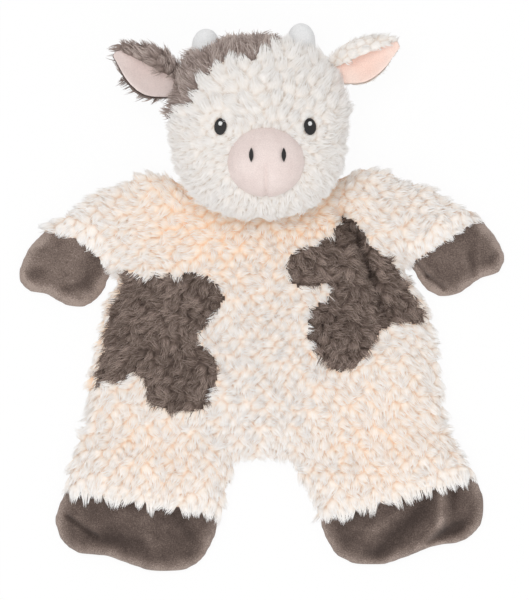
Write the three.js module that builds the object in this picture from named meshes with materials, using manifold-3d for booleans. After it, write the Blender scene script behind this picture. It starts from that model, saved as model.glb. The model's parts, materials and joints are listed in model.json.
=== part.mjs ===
// A flat plush cow that lies on its back with its face up.
// Millimetres. +Z is up, out of the face; +Y points to the head and +X to the viewer's right.
// The origin is on the floor, under the middle of the torso. Left and right are the viewer's.
import * as THREE from 'three';
import { mergeVertices } from 'three/addons/utils/BufferGeometryUtils.js';
import Module from 'manifold-3d';

const wasm = await Module();
wasm.setup();

// Clearances
const GAP = 0.3;
const FOLD_GAP = 0.42;

// Fabrics and seams
const SEAM_EDGE = 0.35;
const SEAM_HEIGHT = 3.0;
const FUR = 5.5;
const SHORT_PILE = 2.0;
const FABRIC_SHARE = 0.3;
const SIDE_FULLNESS = 0.8;
const CHIN_HOLLOW = 1.4;

// Torso: half widths and places of its corners
const NECK_Y = 84;
const NECK_EDGE_HALF = 45;
const SHOULDER_HALF = 60;
const SHOULDER_RAISE = 4.5;
const ARMPIT_HALF = 90.6;
const ARMPIT_Y = 21.3;
const WAIST_HALF = 102.5;
const WAIST_Y = -12;
const HIP_HALF = 109.5;
const HIP_Y = -56.4;
const CROTCH_HALF = 15.6;
const CROTCH_Y = -86.4;
const CROTCH_ARCH = 4.4;
const TORSO_SWELL = 20;
const TORSO_SIDE_RISE = 24;
const TORSO_FOLD_RISE = 30;
const TORSO_NECK_RISE = 60;

// Arms: along the shoulder fold from the armpit, and out from it
const ARM_CUFF_INNER = 9.0;
const ARM_CUFF_INNER_OUT = 4.4;
const ARM_UNDERSIDE = 1.2;
const ARM_CUFF_OUTER = 16.2;
const ARM_CUFF_OUTER_OUT = 49.8;
const ARM_ELBOW = 50;
const ARM_ELBOW_OUT = 33;
const ARM_DROOP_LEFT = 3.8;
const ARM_DROOP_RIGHT = -3.8;
const ARM_SWELL = 17;
const ARM_ROOT_RISE = 28;
const ARM_CUFF_RISE = 22;
const ARM_SIDE_RISE = 14;

// Front hooves: along the wrist fold from its outer end, and out from it
const HAND_LENGTH = 36;
const HAND_OUTER_CORNER = 1.5;
const HAND_OUTER_ROUND = 3.5;
const HAND_OUTER_TOE = 8.3;
const HAND_NOTCH = 21.2;
const HAND_NOTCH_DEPTH = 5;
const HAND_INNER_TOE = 33.1;
const HAND_INNER_LENGTH = 30;
const HAND_INNER_CORNER = 4;
const HAND_INNER_ROUND = 6;
const HAND_FLARE = 2.2;
const HAND_SWELL = 11;

// Legs: along the hip fold from the hip, and out from it
const LEG_OUTER_LENGTH_LEFT = 46.1;
const LEG_OUTER_LENGTH_RIGHT = 40.1;
const LEG_INNER_LENGTH_LEFT = 32.0;
const LEG_INNER_LENGTH_RIGHT = 36.2;
const LEG_FLARE_LEFT = 3.7;
const LEG_FLARE_RIGHT = -3.3;
const LEG_TAPER = 5.1;
const LEG_SWELL = 18;
const LEG_ROOT_RISE = 26;
const LEG_CUFF_RISE = 22;
const LEG_SIDE_RISE = 14;

// Rear hooves: along the ankle fold from its outer end, and out from it
const FOOT_LENGTH = 40;
const FOOT_OUTER_LENGTH = 36.2;
const FOOT_OUTER_CORNER = 4;
const FOOT_OUTER_ROUND = 5;
const FOOT_OUTER_TOE = 13.8;
const FOOT_NOTCH = 30.4;
const FOOT_NOTCH_DEPTH = 4.6;
const FOOT_INNER_TOE = 60.7;
const FOOT_INNER_BEND = 14.7;
const FOOT_INNER_BEND_ROUND = 3.5;
const FOOT_INNER_CORNER = 4.5;
const FOOT_INNER_ROUND = 11.5;
const FOOT_FLARE = 3;
const FOOT_SWELL = 12;

// Short-pile hooves rise from their edges over these widths
const HOOF_FOLD_RISE = 18;
const HOOF_SIDE_RISE = 11;

// Head: a rounded block with a flat place to lie on
const HEAD_X = -3;
const HEAD_ABOVE_NECK = 31;
const HEAD_HALF_WIDTH = 51;
const HEAD_HALF_HEIGHT = 52;
const HEAD_HALF_DEPTH = 38;
const HEAD_SQUARENESS = 2.5;
const HEAD_BACK_ROUNDNESS = 2.0;
const HEAD_FLAT = 0.5;
const HEAD_SEAM_Z = 36;

// Neck: the gathered stub between torso and head
const NECK_RADIUS = 5;
const NECK_LENGTH = 11;

// Muzzle, from the head's middle, and nostrils
const MUZZLE_SHIFT = 3.9;
const MUZZLE_DROP = 19.9;
const MUZZLE_HALF_WIDTH = 24.2;
const MUZZLE_HALF_HEIGHT = 22;
const MUZZLE_HALF_DEPTH = 22;
const MUZZLE_STAND = 14;
const NOSTRIL_SPACING = 19.4;
const NOSTRIL_RAISE = 3.2;
const NOSTRIL_SHIFT = 1.2;
const NOSTRIL_WIDTH = 3.4;
const NOSTRIL_HEIGHT = 8.6;

// Eyes, from the head's middle
const EYE_SPACING = 53.4;
const EYE_SHIFT = 3.7;
const EYE_RAISE = 1.4;
const EYE_WIDTH = 7.4;
const EYE_HEIGHT = 10;
const EYE_TILT = 6;
const HIGHLIGHT_RADIUS = 1.2;
const HIGHLIGHT_RAISE = 1.8;
const STITCHING = 1.0;

// Horns: distance from the head's middle, radius and length above the head
const HORN_LEFT = 31.8;
const HORN_RIGHT = 25.2;
const HORN_RADIUS = 8;
const HORN_LENGTH = 15;
const HORN_FABRIC = 1.6;

// Ears: root angle on the head's outline, pointing angle, length and widths
const EAR_ROOT_LEFT = 151;
const EAR_ROOT_RIGHT = 38;
const EAR_POINT_LEFT = 152;
const EAR_POINT_RIGHT = 24;
const EAR_LENGTH = 43;
const EAR_ROOT_HALF = 10;
const EAR_HALF_WIDTH = 16.5;
const EAR_OUTER_HALF = 13.5;
const EAR_TIP_HALF = 4;
const EAR_LIFT = 5;
const EAR_FUR = 3.2;
const EAR_LINING = 1.4;
const EAR_EDGE_SHARE = 0.35;
const EAR_ROOT_GAP = 0.84;

// Facets
const HEAD_SEGMENTS = 28;
const HEAD_RINGS = 16;
const CORE_SEGMENTS = 20;
const CORE_RINGS = 12;
const ROUND_SEGMENTS = 16;

// Colours and finishes
const CREAM = { color: 0xf3e6da, roughness: 0.95, metalness: 0 };
const OFF_WHITE = { color: 0xece8e2, roughness: 0.95, metalness: 0 };
const BROWN = { color: 0x706157, roughness: 0.95, metalness: 0 };
const LIGHT_BROWN = { color: 0x8e7c72, roughness: 0.95, metalness: 0 };
const HOOF = { color: 0x5f534b, roughness: 0.9, metalness: 0 };
const PINK = { color: 0xe8d6d0, roughness: 0.9, metalness: 0 };
const PEACH = { color: 0xf8d8ca, roughness: 0.9, metalness: 0 };
const HORN = { color: 0xe8eaed, roughness: 0.9, metalness: 0 };
const BLACK = { color: 0x232021, roughness: 0.6, metalness: 0 };
const WHITE = { color: 0xffffff, roughness: 0.6, metalness: 0 };
const WADDING = { color: 0xf6f6f4, roughness: 1, metalness: 0 };

const SEAM_HALF = SEAM_EDGE + GAP / 2;
const HEAD_Y = NECK_Y + HEAD_ABOVE_NECK;
const HEAD_Z = HEAD_HALF_DEPTH - HEAD_FLAT;
const NECK_AXIS_Z = SEAM_HEIGHT + NECK_RADIUS + GAP;
const MUZZLE_X = HEAD_X + MUZZLE_SHIFT;
const MUZZLE_Y = HEAD_Y - MUZZLE_DROP;
const MUZZLE_Z = HEAD_Z + HEAD_HALF_DEPTH + MUZZLE_STAND - MUZZLE_HALF_DEPTH;
const FAR = 500;
const WELD = 1e-4;

// Points and curves in plan
const at = (x, y) => new THREE.Vector2(x, y);
const line = (from, to) => new THREE.LineCurve(from, to);
const spline = (...points) => new THREE.SplineCurve(points);

// A side of a panel, made of stretches that meet at the given places along it
function joined(stretches, knots) {
  return {
    getPoint(t) {
      let k = 0;
      while (k < stretches.length - 1 && t > knots[k + 1]) k += 1;
      const local = (t - knots[k]) / (knots[k + 1] - knots[k]);
      return stretches[k].getPoint(THREE.MathUtils.clamp(local, 0, 1));
    },
  };
}

// A flat frame for a limb: along its fold, and out from it
function foldFrame(from, to, outwards) {
  const along = to.clone().sub(from).normalize();
  const out = at(-along.y, along.x);
  if (out.dot(outwards) < 0) out.negate();
  return {
    along,
    out,
    length: from.distanceTo(to),
    point: (u, v) => from.clone().addScaledVector(along, u).addScaledVector(out, v),
  };
}

// A patch between four sides: near and far run the same way, and so do left and right
function fillPatch({ near, far, left, right }, u, v) {
  const across = near.getPoint(u).multiplyScalar(1 - v).addScaledVector(far.getPoint(u), v);
  const along = left.getPoint(v).multiplyScalar(1 - u).addScaledVector(right.getPoint(v), u);
  const corners = near.getPoint(0).multiplyScalar((1 - u) * (1 - v))
    .addScaledVector(near.getPoint(1), u * (1 - v))
    .addScaledVector(far.getPoint(0), (1 - u) * v)
    .addScaledVector(far.getPoint(1), u * v);
  return across.add(along).sub(corners);
}

// How the fabric rises from an edge: evenly from a fold, fuller from a sewn side, flatter under the chin
const foldRise = (width) => (d) => Math.sin((Math.PI / 2) * Math.min(d / width, 1));
const sideRise = (width) => (d) => foldRise(width)(d) ** SIDE_FULLNESS;
const neckRise = (width) => (d) => foldRise(width)(d) ** CHIN_HOLLOW;

function edge(curve, from, to, rise) {
  const steps = 24;
  const points = [];
  for (let k = 0; k <= steps; k += 1) points.push(curve.getPoint(from + ((to - from) * k) / steps));
  return { points, rise };
}

function distanceToEdge(point, points) {
  let least = Infinity;
  for (let k = 0; k + 1 < points.length; k += 1) {
    const span = points[k + 1].clone().sub(points[k]);
    const reach = point.clone().sub(points[k]);
    const t = THREE.MathUtils.clamp(reach.dot(span) / span.lengthSq(), 0, 1);
    least = Math.min(least, reach.addScaledVector(span, -t).length());
  }
  return least;
}

// A closed solid between two grids of points, the second above the first
function slab(lower, upper) {
  const columns = lower.length;
  const rows = lower[0].length;
  const positions = [...lower.flat(), ...upper.flat()].flatMap((p) => [p.x, p.y, p.z]);
  const low = (i, j) => i * rows + j;
  const high = (i, j) => columns * rows + i * rows + j;
  const triangles = [];
  const quad = (a, b, c, d) => triangles.push(a, b, c, a, c, d);
  for (let i = 0; i + 1 < columns; i += 1) {
    for (let j = 0; j + 1 < rows; j += 1) {
      quad(high(i, j), high(i + 1, j), high(i + 1, j + 1), high(i, j + 1));
      triangles.push(low(i, j), low(i + 1, j + 1), low(i + 1, j));
      triangles.push(low(i, j), low(i, j + 1), low(i + 1, j + 1));
    }
  }
  const rim = [];
  for (let i = 0; i < columns - 1; i += 1) rim.push([i, 0]);
  for (let j = 0; j < rows - 1; j += 1) rim.push([columns - 1, j]);
  for (let i = columns - 1; i > 0; i -= 1) rim.push([i, rows - 1]);
  for (let j = rows - 1; j > 0; j -= 1) rim.push([0, j]);
  rim.forEach(([i, j], k) => {
    const [p, q] = rim[(k + 1) % rim.length];
    quad(low(i, j), low(p, q), high(p, q), high(i, j));
  });
  const geometry = new THREE.BufferGeometry();
  geometry.setAttribute('position', new THREE.Float32BufferAttribute(positions, 3));
  geometry.setIndex(triangles);
  return facingOut(geometry);
}

function enclosedVolume(geometry) {
  const p = geometry.attributes.position;
  const [a, b, c] = [new THREE.Vector3(), new THREE.Vector3(), new THREE.Vector3()];
  let volume = 0;
  for (let k = 0; k < geometry.index.count; k += 3) {
    a.fromBufferAttribute(p, geometry.index.getX(k));
    b.fromBufferAttribute(p, geometry.index.getX(k + 1));
    c.fromBufferAttribute(p, geometry.index.getX(k + 2));
    volume += a.dot(b.cross(c)) / 6;
  }
  return volume;
}

function facingOut(geometry) {
  if (enclosedVolume(geometry) > 0) return geometry;
  const index = geometry.index.array;
  for (let k = 0; k < index.length; k += 3) [index[k], index[k + 1]] = [index[k + 1], index[k]];
  return geometry;
}

// The back, wadding and front of a padded panel, which meet in a thin sewn edge
function paddedPanel({ sides, columns, rows, edges, swell, fabric, inset }) {
  const grid = columns.map((u) => rows.map((v) => {
    const plan = fillPatch(sides, u, v);
    const distances = edges.map(({ points }) => distanceToEdge(plan, points));
    const rise = edges.reduce((product, { rise: shape }, k) => product * shape(distances[k]), 1);
    const low = Math.max(0, SEAM_HEIGHT - SEAM_HALF - Math.min(...distances));
    const high = SEAM_HEIGHT + SEAM_HALF + swell * rise;
    const loft = FABRIC_SHARE * (high - low - 2 * SEAM_HALF);
    const layer = SEAM_EDGE + Math.min(loft, fabric - SEAM_EDGE);
    return { plan, heights: [low, low + layer, low + layer + GAP, high - layer - GAP, high - layer, high] };
  }));
  const surface = (level, part) => part.map((column) => (
    column.map(({ plan, heights }) => new THREE.Vector3(plan.x, plan.y, heights[level]))));
  const inner = grid.slice(inset, -1).map((column) => column.slice(1, -1));
  return {
    back: slab(surface(0, grid), surface(1, grid)),
    padding: slab(surface(2, inner), surface(3, inner)),
    front: slab(surface(4, grid), surface(5, grid)),
  };
}

// Solids for joining and cutting
function solidOf(geometry) {
  const bare = geometry.clone();
  bare.deleteAttribute('normal');
  bare.deleteAttribute('uv');
  const welded = mergeVertices(bare, WELD);
  const corners = [];
  for (let k = 0; k < welded.index.count; k += 3) {
    const [a, b, c] = [0, 1, 2].map((n) => welded.index.getX(k + n));
    if (a !== b && b !== c && c !== a) corners.push(a, b, c);
  }
  welded.setIndex(corners);
  facingOut(welded);
  return new wasm.Manifold(new wasm.Mesh({
    numProp: 3,
    vertProperties: Float32Array.from(welded.attributes.position.array),
    triVerts: Uint32Array.from(welded.index.array),
  }));
}

function geometryOf(solid) {
  const { vertProperties, triVerts } = solid.getMesh();
  const geometry = new THREE.BufferGeometry();
  geometry.setAttribute('position', new THREE.BufferAttribute(Float32Array.from(vertProperties), 3));
  geometry.setIndex(Array.from(triVerts));
  return geometry;
}

function block(low, high) {
  const size = high.clone().sub(low);
  const geometry = new THREE.BoxGeometry(size.x, size.y, size.z);
  const centre = low.clone().add(high).multiplyScalar(0.5);
  return solidOf(geometry.translate(centre.x, centre.y, centre.z));
}

const above = (z) => block(new THREE.Vector3(-FAR, -FAR, z), new THREE.Vector3(FAR, FAR, FAR));
const below = (z) => block(new THREE.Vector3(-FAR, -FAR, -FAR), new THREE.Vector3(FAR, FAR, z));

// An upright prism over an outline in plan
function prism(outline, low, high) {
  const shape = new THREE.Shape(outline);
  const geometry = new THREE.ExtrudeGeometry(shape, { depth: high - low, bevelEnabled: false });
  return solidOf(geometry.translate(0, 0, low));
}

function smoothOutline(points, steps) {
  const loop = new THREE.CatmullRomCurve3(points.map(([x, y]) => new THREE.Vector3(x, y, 0)), true);
  return loop.getPoints(points.length * steps).slice(0, -1).map((p) => at(p.x, p.y));
}

function grownOutline(outline, distance) {
  const turn = Math.sign(THREE.ShapeUtils.area(outline));
  return outline.map((point, k) => {
    const before = outline[(k + outline.length - 1) % outline.length];
    const after = outline[(k + 1) % outline.length];
    const along = after.clone().sub(before).normalize();
    return at(point.x + along.y * distance * turn, point.y - along.x * distance * turn);
  });
}

// Bodies: a group for each, placed at the point that it turns about
const cow = new THREE.Group();
cow.name = 'plush_cow';

function body(name, pivot, parent) {
  const group = new THREE.Group();
  group.name = `${name}_body`;
  group.userData.pivot = pivot;
  group.position.copy(pivot);
  if (parent) {
    group.position.sub(parent.userData.pivot);
    parent.add(group);
  } else {
    cow.add(group);
  }
  return group;
}

function addPiece(group, name, geometry, finish) {
  const { pivot } = group.userData;
  const placed = geometry.translate(-pivot.x, -pivot.y, -pivot.z);
  const mesh = new THREE.Mesh(placed, new THREE.MeshStandardMaterial(finish));
  mesh.name = name;
  group.add(mesh);
}

function addPadded(group, name, panel, finish) {
  addPiece(group, `${name}_front`, panel.front, finish);
  addPiece(group, `${name}_back`, panel.back, finish);
  addPiece(group, `${name}_padding`, panel.padding, WADDING);
}

const seamPoint = (plan) => new THREE.Vector3(plan.x, plan.y, SEAM_HEIGHT);

// The torso's corners on one side: -1 for the viewer's left, 1 for the right
function torsoCorners(side) {
  return {
    shoulder: at(side * SHOULDER_HALF, NECK_Y + SHOULDER_RAISE),
    armpit: at(side * ARMPIT_HALF, ARMPIT_Y),
    waist: at(side * WAIST_HALF, WAIST_Y),
    hip: at(side * HIP_HALF, HIP_Y),
    crotch: at(side * CROTCH_HALF, CROTCH_Y),
  };
}

function shoulderFrame(side) {
  const { shoulder, armpit } = torsoCorners(side);
  return foldFrame(armpit, shoulder, at(side, 0));
}

function hipFrame(side) {
  const { hip, crotch } = torsoCorners(side);
  return foldFrame(hip, crotch, at(0, -1));
}

// Torso
function torsoSide(side, armpitPlace) {
  const { waist } = torsoCorners(side);
  const shoulderFold = shoulderFrame(side);
  const hipFold = hipFrame(side);
  const armpit = shoulderFold.point(0, -FOLD_GAP);
  const flank = spline(hipFold.point(0, -FOLD_GAP), waist, armpit);
  const fold = line(armpit, shoulderFold.point(shoulderFold.length, -FOLD_GAP));
  return joined([flank, fold], [0, armpitPlace, 1]);
}

function torsoPanel() {
  const armpitPlace = 0.52;
  const crotchPlace = (HIP_HALF - CROTCH_HALF) / (2 * HIP_HALF);
  const left = torsoSide(-1, armpitPlace);
  const right = torsoSide(1, armpitPlace);
  const leftHip = hipFrame(-1);
  const rightHip = hipFrame(1);
  const leftCrotch = leftHip.point(leftHip.length, -FOLD_GAP);
  const rightCrotch = rightHip.point(rightHip.length, -FOLD_GAP);
  const near = joined([
    line(left.getPoint(0), leftCrotch),
    spline(leftCrotch, at(0, CROTCH_Y + CROTCH_ARCH), rightCrotch),
    line(rightCrotch, right.getPoint(0)),
  ], [0, crotchPlace, 1 - crotchPlace, 1]);
  const neckEdge = NECK_Y - FOLD_GAP;
  const neckPoints = [-NECK_EDGE_HALF, 0, NECK_EDGE_HALF].map((x) => at(x, neckEdge));
  const far = spline(left.getPoint(1), ...neckPoints, right.getPoint(1));
  const halfColumns = [0, 0.03, 0.11, 0.22, 0.33, crotchPlace];
  const columns = [...halfColumns, 0.5, ...halfColumns.map((u) => 1 - u).reverse()];
  const rows = [0, 0.03, 0.11, 0.24, 0.38, armpitPlace, 0.64, 0.75, 0.86, 0.96, 1];
  const flankRise = sideRise(TORSO_SIDE_RISE);
  return paddedPanel({
    sides: { near, far, left, right },
    columns,
    rows,
    edges: [
      edge(near, 0, crotchPlace, foldRise(TORSO_FOLD_RISE)),
      edge(near, crotchPlace, 1 - crotchPlace, flankRise),
      edge(near, 1 - crotchPlace, 1, foldRise(TORSO_FOLD_RISE)),
      edge(left, 0, armpitPlace, flankRise),
      edge(right, 0, armpitPlace, flankRise),
      edge(left, armpitPlace, 1, foldRise(TORSO_FOLD_RISE)),
      edge(right, armpitPlace, 1, foldRise(TORSO_FOLD_RISE)),
      edge(far, 0, 1, neckRise(TORSO_NECK_RISE)),
    ],
    swell: TORSO_SWELL,
    fabric: FUR,
    inset: 1,
  });
}

// Outlines of the two spots; each runs out past the side seam
const LEFT_SPOT = smoothOutline([
  [-110, 25], [-61, 26], [-40.8, 27], [-28.8, 22], [-25.8, 10.8], [-33, -2.4], [-40.8, -11.4],
  [-33, -19], [-30, -27.6], [-31.8, -48], [-45, -52.8], [-61, -52.8], [-68.4, -48], [-71.4, -35.4],
  [-77.4, -31.8], [-87.6, -36.6], [-118, -35.4],
], 2);
const RIGHT_SPOT = smoothOutline([
  [48, 61.5], [56, 58.5], [66, 43], [76, 36], [88, 17], [112, 12], [110, 0], [74.4, -1.2], [66, -11.4],
  [58, -23.4], [48, -30.6], [37.8, -25.6], [25.8, -11.4], [25.8, -5.4], [30, 7.8], [40, 13.8],
  [36, 21], [21.6, 19], [14.7, 25], [15.6, 39], [24, 44.4], [40, 48.6],
], 2);

function buildTorso() {
  const torso = body('torso', new THREE.Vector3(0, 0, 0), null);
  const panel = torsoPanel();
  let front = solidOf(panel.front);
  const spots = { patch_left: LEFT_SPOT, patch_right: RIGHT_SPOT };
  for (const [name, outline] of Object.entries(spots)) {
    addPiece(torso, name, geometryOf(front.intersect(prism(outline, 0, FAR))), BROWN);
    front = front.subtract(prism(grownOutline(outline, GAP), -1, FAR));
  }
  addPadded(torso, 'torso', { ...panel, front: geometryOf(front) }, CREAM);
  return torso;
}

// Arms
const LIMB_SIDES = [['left', -1], ['right', 1]];

function armOutline(side) {
  const fold = shoulderFrame(side);
  const droop = side < 0 ? ARM_DROOP_LEFT : ARM_DROOP_RIGHT;
  return {
    fold,
    rootStart: ARM_CUFF_INNER - droop - ARM_UNDERSIDE,
    cuffInner: fold.point(ARM_CUFF_INNER - droop, ARM_CUFF_INNER_OUT),
    cuffOuter: fold.point(ARM_CUFF_OUTER - droop, ARM_CUFF_OUTER_OUT),
    elbow: fold.point(ARM_ELBOW - droop / 2, ARM_ELBOW_OUT),
  };
}

function wristFrame(side) {
  const { fold, cuffInner, cuffOuter } = armOutline(side);
  return foldFrame(cuffOuter, cuffInner, fold.along.clone().negate());
}

function armPanel(side) {
  const { fold, rootStart, elbow } = armOutline(side);
  const wrist = wristFrame(side);
  const rootInner = fold.point(rootStart, FOLD_GAP);
  const rootOuter = fold.point(fold.length, FOLD_GAP);
  const cuffInner = wrist.point(wrist.length, -FOLD_GAP);
  const cuffOuter = wrist.point(0, -FOLD_GAP);
  const near = line(rootInner, rootOuter);
  const far = line(cuffInner, cuffOuter);
  const left = line(rootInner, cuffInner);
  const right = spline(rootOuter, elbow, cuffOuter);
  return paddedPanel({
    sides: { near, far, left, right },
    columns: [0, 0.12, 0.3, 0.48, 0.66, 0.83, 0.95, 1],
    rows: [0, 0.08, 0.28, 0.5, 0.72, 0.92, 1],
    edges: [
      edge(near, 0, 1, foldRise(ARM_ROOT_RISE)),
      edge(far, 0, 1, foldRise(ARM_CUFF_RISE)),
      edge(left, 0, 1, sideRise(ARM_SIDE_RISE)),
      edge(right, 0, 1, sideRise(ARM_SIDE_RISE)),
    ],
    swell: ARM_SWELL,
    fabric: FUR,
    inset: 2,
  });
}

// A hoof has a cloven far edge, from its outer corner over the notch to its inner corner
function hoofPanel({ fold, outerSide, cloven, innerSide, columns, swell }) {
  const near = line(fold.point(0, FOLD_GAP), fold.point(fold.length, FOLD_GAP));
  const far = spline(...cloven.map(([u, v]) => fold.point(u, v)));
  const left = spline(near.getPoint(0), fold.point(...outerSide), far.getPoint(0));
  const right = spline(near.getPoint(1), fold.point(...innerSide), far.getPoint(1));
  return paddedPanel({
    sides: { near, far, left, right },
    columns,
    rows: [0, 0.1, 0.36, 0.66, 0.9, 1],
    edges: [
      edge(near, 0, 1, foldRise(HOOF_FOLD_RISE)),
      edge(far, 0, 1, sideRise(HOOF_SIDE_RISE)),
      edge(left, 0, 1, sideRise(HOOF_SIDE_RISE)),
      edge(right, 0, 1, sideRise(HOOF_SIDE_RISE)),
    ],
    swell,
    fabric: SHORT_PILE,
    inset: 1,
  });
}

function handPanel(side) {
  const fold = wristFrame(side);
  const width = fold.length;
  return hoofPanel({
    fold,
    outerSide: [-HAND_FLARE, HAND_LENGTH / 2],
    cloven: [
      [HAND_OUTER_CORNER, HAND_LENGTH - HAND_OUTER_ROUND],
      [HAND_OUTER_TOE, HAND_LENGTH],
      [HAND_NOTCH, HAND_LENGTH - HAND_NOTCH_DEPTH],
      [HAND_INNER_TOE, HAND_INNER_LENGTH],
      [width - HAND_INNER_CORNER, HAND_INNER_LENGTH - HAND_INNER_ROUND],
    ],
    innerSide: [width - HAND_INNER_CORNER / 5, HAND_INNER_LENGTH / 2],
    columns: [0, 0.08, 0.25, 0.5, 0.75, 0.92, 1],
    swell: HAND_SWELL,
  });
}

function buildArm(name, side, torso) {
  const { fold } = armOutline(side);
  const wrist = wristFrame(side);
  const arm = body(`arm_${name}`, seamPoint(fold.point(fold.length / 2, 0)), torso);
  addPadded(arm, `arm_${name}`, armPanel(side), CREAM);
  const hand = body(`hand_${name}`, seamPoint(wrist.point(wrist.length / 2, 0)), arm);
  addPadded(hand, `hand_${name}`, handPanel(side), HOOF);
}

// Legs
function legOutline(side) {
  const fold = hipFrame(side);
  const isLeft = side < 0;
  const outerLength = isLeft ? LEG_OUTER_LENGTH_LEFT : LEG_OUTER_LENGTH_RIGHT;
  const innerLength = isLeft ? LEG_INNER_LENGTH_LEFT : LEG_INNER_LENGTH_RIGHT;
  const flare = isLeft ? LEG_FLARE_LEFT : LEG_FLARE_RIGHT;
  return {
    fold,
    cuffOuter: fold.point(flare, outerLength),
    cuffInner: fold.point(fold.length - LEG_TAPER + flare / 2, innerLength),
  };
}

function ankleFrame(side) {
  const { cuffOuter, cuffInner } = legOutline(side);
  return foldFrame(cuffOuter, cuffInner, at(0, -1));
}

function legPanel(side) {
  const { fold } = legOutline(side);
  const ankle = ankleFrame(side);
  const near = line(fold.point(0, FOLD_GAP), fold.point(fold.length, FOLD_GAP));
  const far = line(ankle.point(0, -FOLD_GAP), ankle.point(ankle.length, -FOLD_GAP));
  const left = line(near.getPoint(0), far.getPoint(0));
  const right = line(near.getPoint(1), far.getPoint(1));
  return paddedPanel({
    sides: { near, far, left, right },
    columns: [0, 0.035, 0.15, 0.32, 0.5, 0.68, 0.85, 0.965, 1],
    rows: [0, 0.08, 0.3, 0.5, 0.7, 0.92, 1],
    edges: [
      edge(near, 0, 1, foldRise(LEG_ROOT_RISE)),
      edge(far, 0, 1, foldRise(LEG_CUFF_RISE)),
      edge(left, 0, 1, sideRise(LEG_SIDE_RISE)),
      edge(right, 0, 1, sideRise(LEG_SIDE_RISE)),
    ],
    swell: LEG_SWELL,
    fabric: FUR,
    inset: 1,
  });
}

function footPanel(side) {
  const fold = ankleFrame(side);
  const width = fold.length;
  return hoofPanel({
    fold,
    outerSide: [-FOOT_FLARE, FOOT_OUTER_LENGTH / 2],
    cloven: [
      [FOOT_OUTER_CORNER, FOOT_OUTER_LENGTH - FOOT_OUTER_ROUND],
      [FOOT_OUTER_TOE, FOOT_OUTER_LENGTH],
      [FOOT_NOTCH, FOOT_LENGTH - FOOT_NOTCH_DEPTH],
      [FOOT_INNER_TOE, FOOT_LENGTH],
      [width - FOOT_INNER_BEND, FOOT_LENGTH - FOOT_INNER_BEND_ROUND],
      [width - FOOT_INNER_CORNER, FOOT_LENGTH - FOOT_INNER_ROUND],
    ],
    innerSide: [width, (FOOT_LENGTH - FOOT_INNER_ROUND) / 2],
    columns: [0, 0.045, 0.2, 0.4, 0.6, 0.8, 0.955, 1],
    swell: FOOT_SWELL,
  });
}

function buildLeg(name, side, torso) {
  const { fold } = legOutline(side);
  const ankle = ankleFrame(side);
  const leg = body(`leg_${name}`, seamPoint(fold.point(fold.length / 2, 0)), torso);
  addPadded(leg, `leg_${name}`, legPanel(side), CREAM);
  const foot = body(`foot_${name}`, seamPoint(ankle.point(ankle.length / 2, 0)), leg);
  addPadded(foot, `foot_${name}`, footPanel(side), HOOF);
}

// The head's rounded block, larger or smaller by an even layer
function headBlock(layer, segments = HEAD_SEGMENTS, rings = HEAD_RINGS) {
  const geometry = new THREE.SphereGeometry(1, segments, rings);
  const p = geometry.attributes.position;
  const half = [HEAD_HALF_WIDTH + layer, HEAD_HALF_HEIGHT + layer, HEAD_HALF_DEPTH + layer];
  for (let k = 0; k < p.count; k += 1) {
    const [x, y, z] = [p.getX(k) / half[0], p.getY(k) / half[1], p.getZ(k) / half[2]];
    const sum = Math.abs(x) ** HEAD_SQUARENESS + Math.abs(y) ** HEAD_SQUARENESS;
    const outline = sum ** (1 / HEAD_SQUARENESS);
    const power = z > 0 ? HEAD_SQUARENESS : HEAD_BACK_ROUNDNESS;
    const reach = (outline ** power + Math.abs(z) ** power) ** (-1 / power);
    p.setXYZ(k, p.getX(k) * reach, p.getY(k) * reach, p.getZ(k) * reach);
  }
  return solidOf(geometry.translate(HEAD_X, HEAD_Y, HEAD_Z));
}

// A point on the head's outline in plan, at an angle round its middle
function headOutlinePoint(degrees) {
  const angle = THREE.MathUtils.degToRad(degrees);
  const sum = Math.abs(Math.cos(angle) / HEAD_HALF_WIDTH) ** HEAD_SQUARENESS
    + Math.abs(Math.sin(angle) / HEAD_HALF_HEIGHT) ** HEAD_SQUARENESS;
  const reach = sum ** (-1 / HEAD_SQUARENESS);
  return at(HEAD_X + Math.cos(angle) * reach, HEAD_Y + Math.sin(angle) * reach);
}

function turnedAlongY(profile, segments, x, y, z) {
  const points = profile.map(([radius, along]) => at(radius, along));
  return new THREE.LatheGeometry(points, segments).translate(x, y, z);
}

function neckStub(layer) {
  const start = NECK_Y + FOLD_GAP - (layer > 0 ? NECK_LENGTH : 0);
  const end = NECK_Y + FOLD_GAP + NECK_LENGTH + layer;
  const radius = NECK_RADIUS + layer;
  const profile = [[0, start], [radius, start], [radius, end], [0, end]];
  return turnedAlongY(profile, ROUND_SEGMENTS, HEAD_X, 0, NECK_AXIS_Z);
}

// The brown patch covers the upper left of the face, down to this edge, from the head's middle
const HEAD_PATCH = [
  [7.8, 75], [7.8, 51], [-4.2, 40.4], [-19.8, 37.4], [-32.4, 33.2], [-39.6, 21.2], [-48, 12.8],
  [-72, 10.4], [-72, 75],
].map(([x, y]) => at(HEAD_X + x, HEAD_Y + y));

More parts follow.
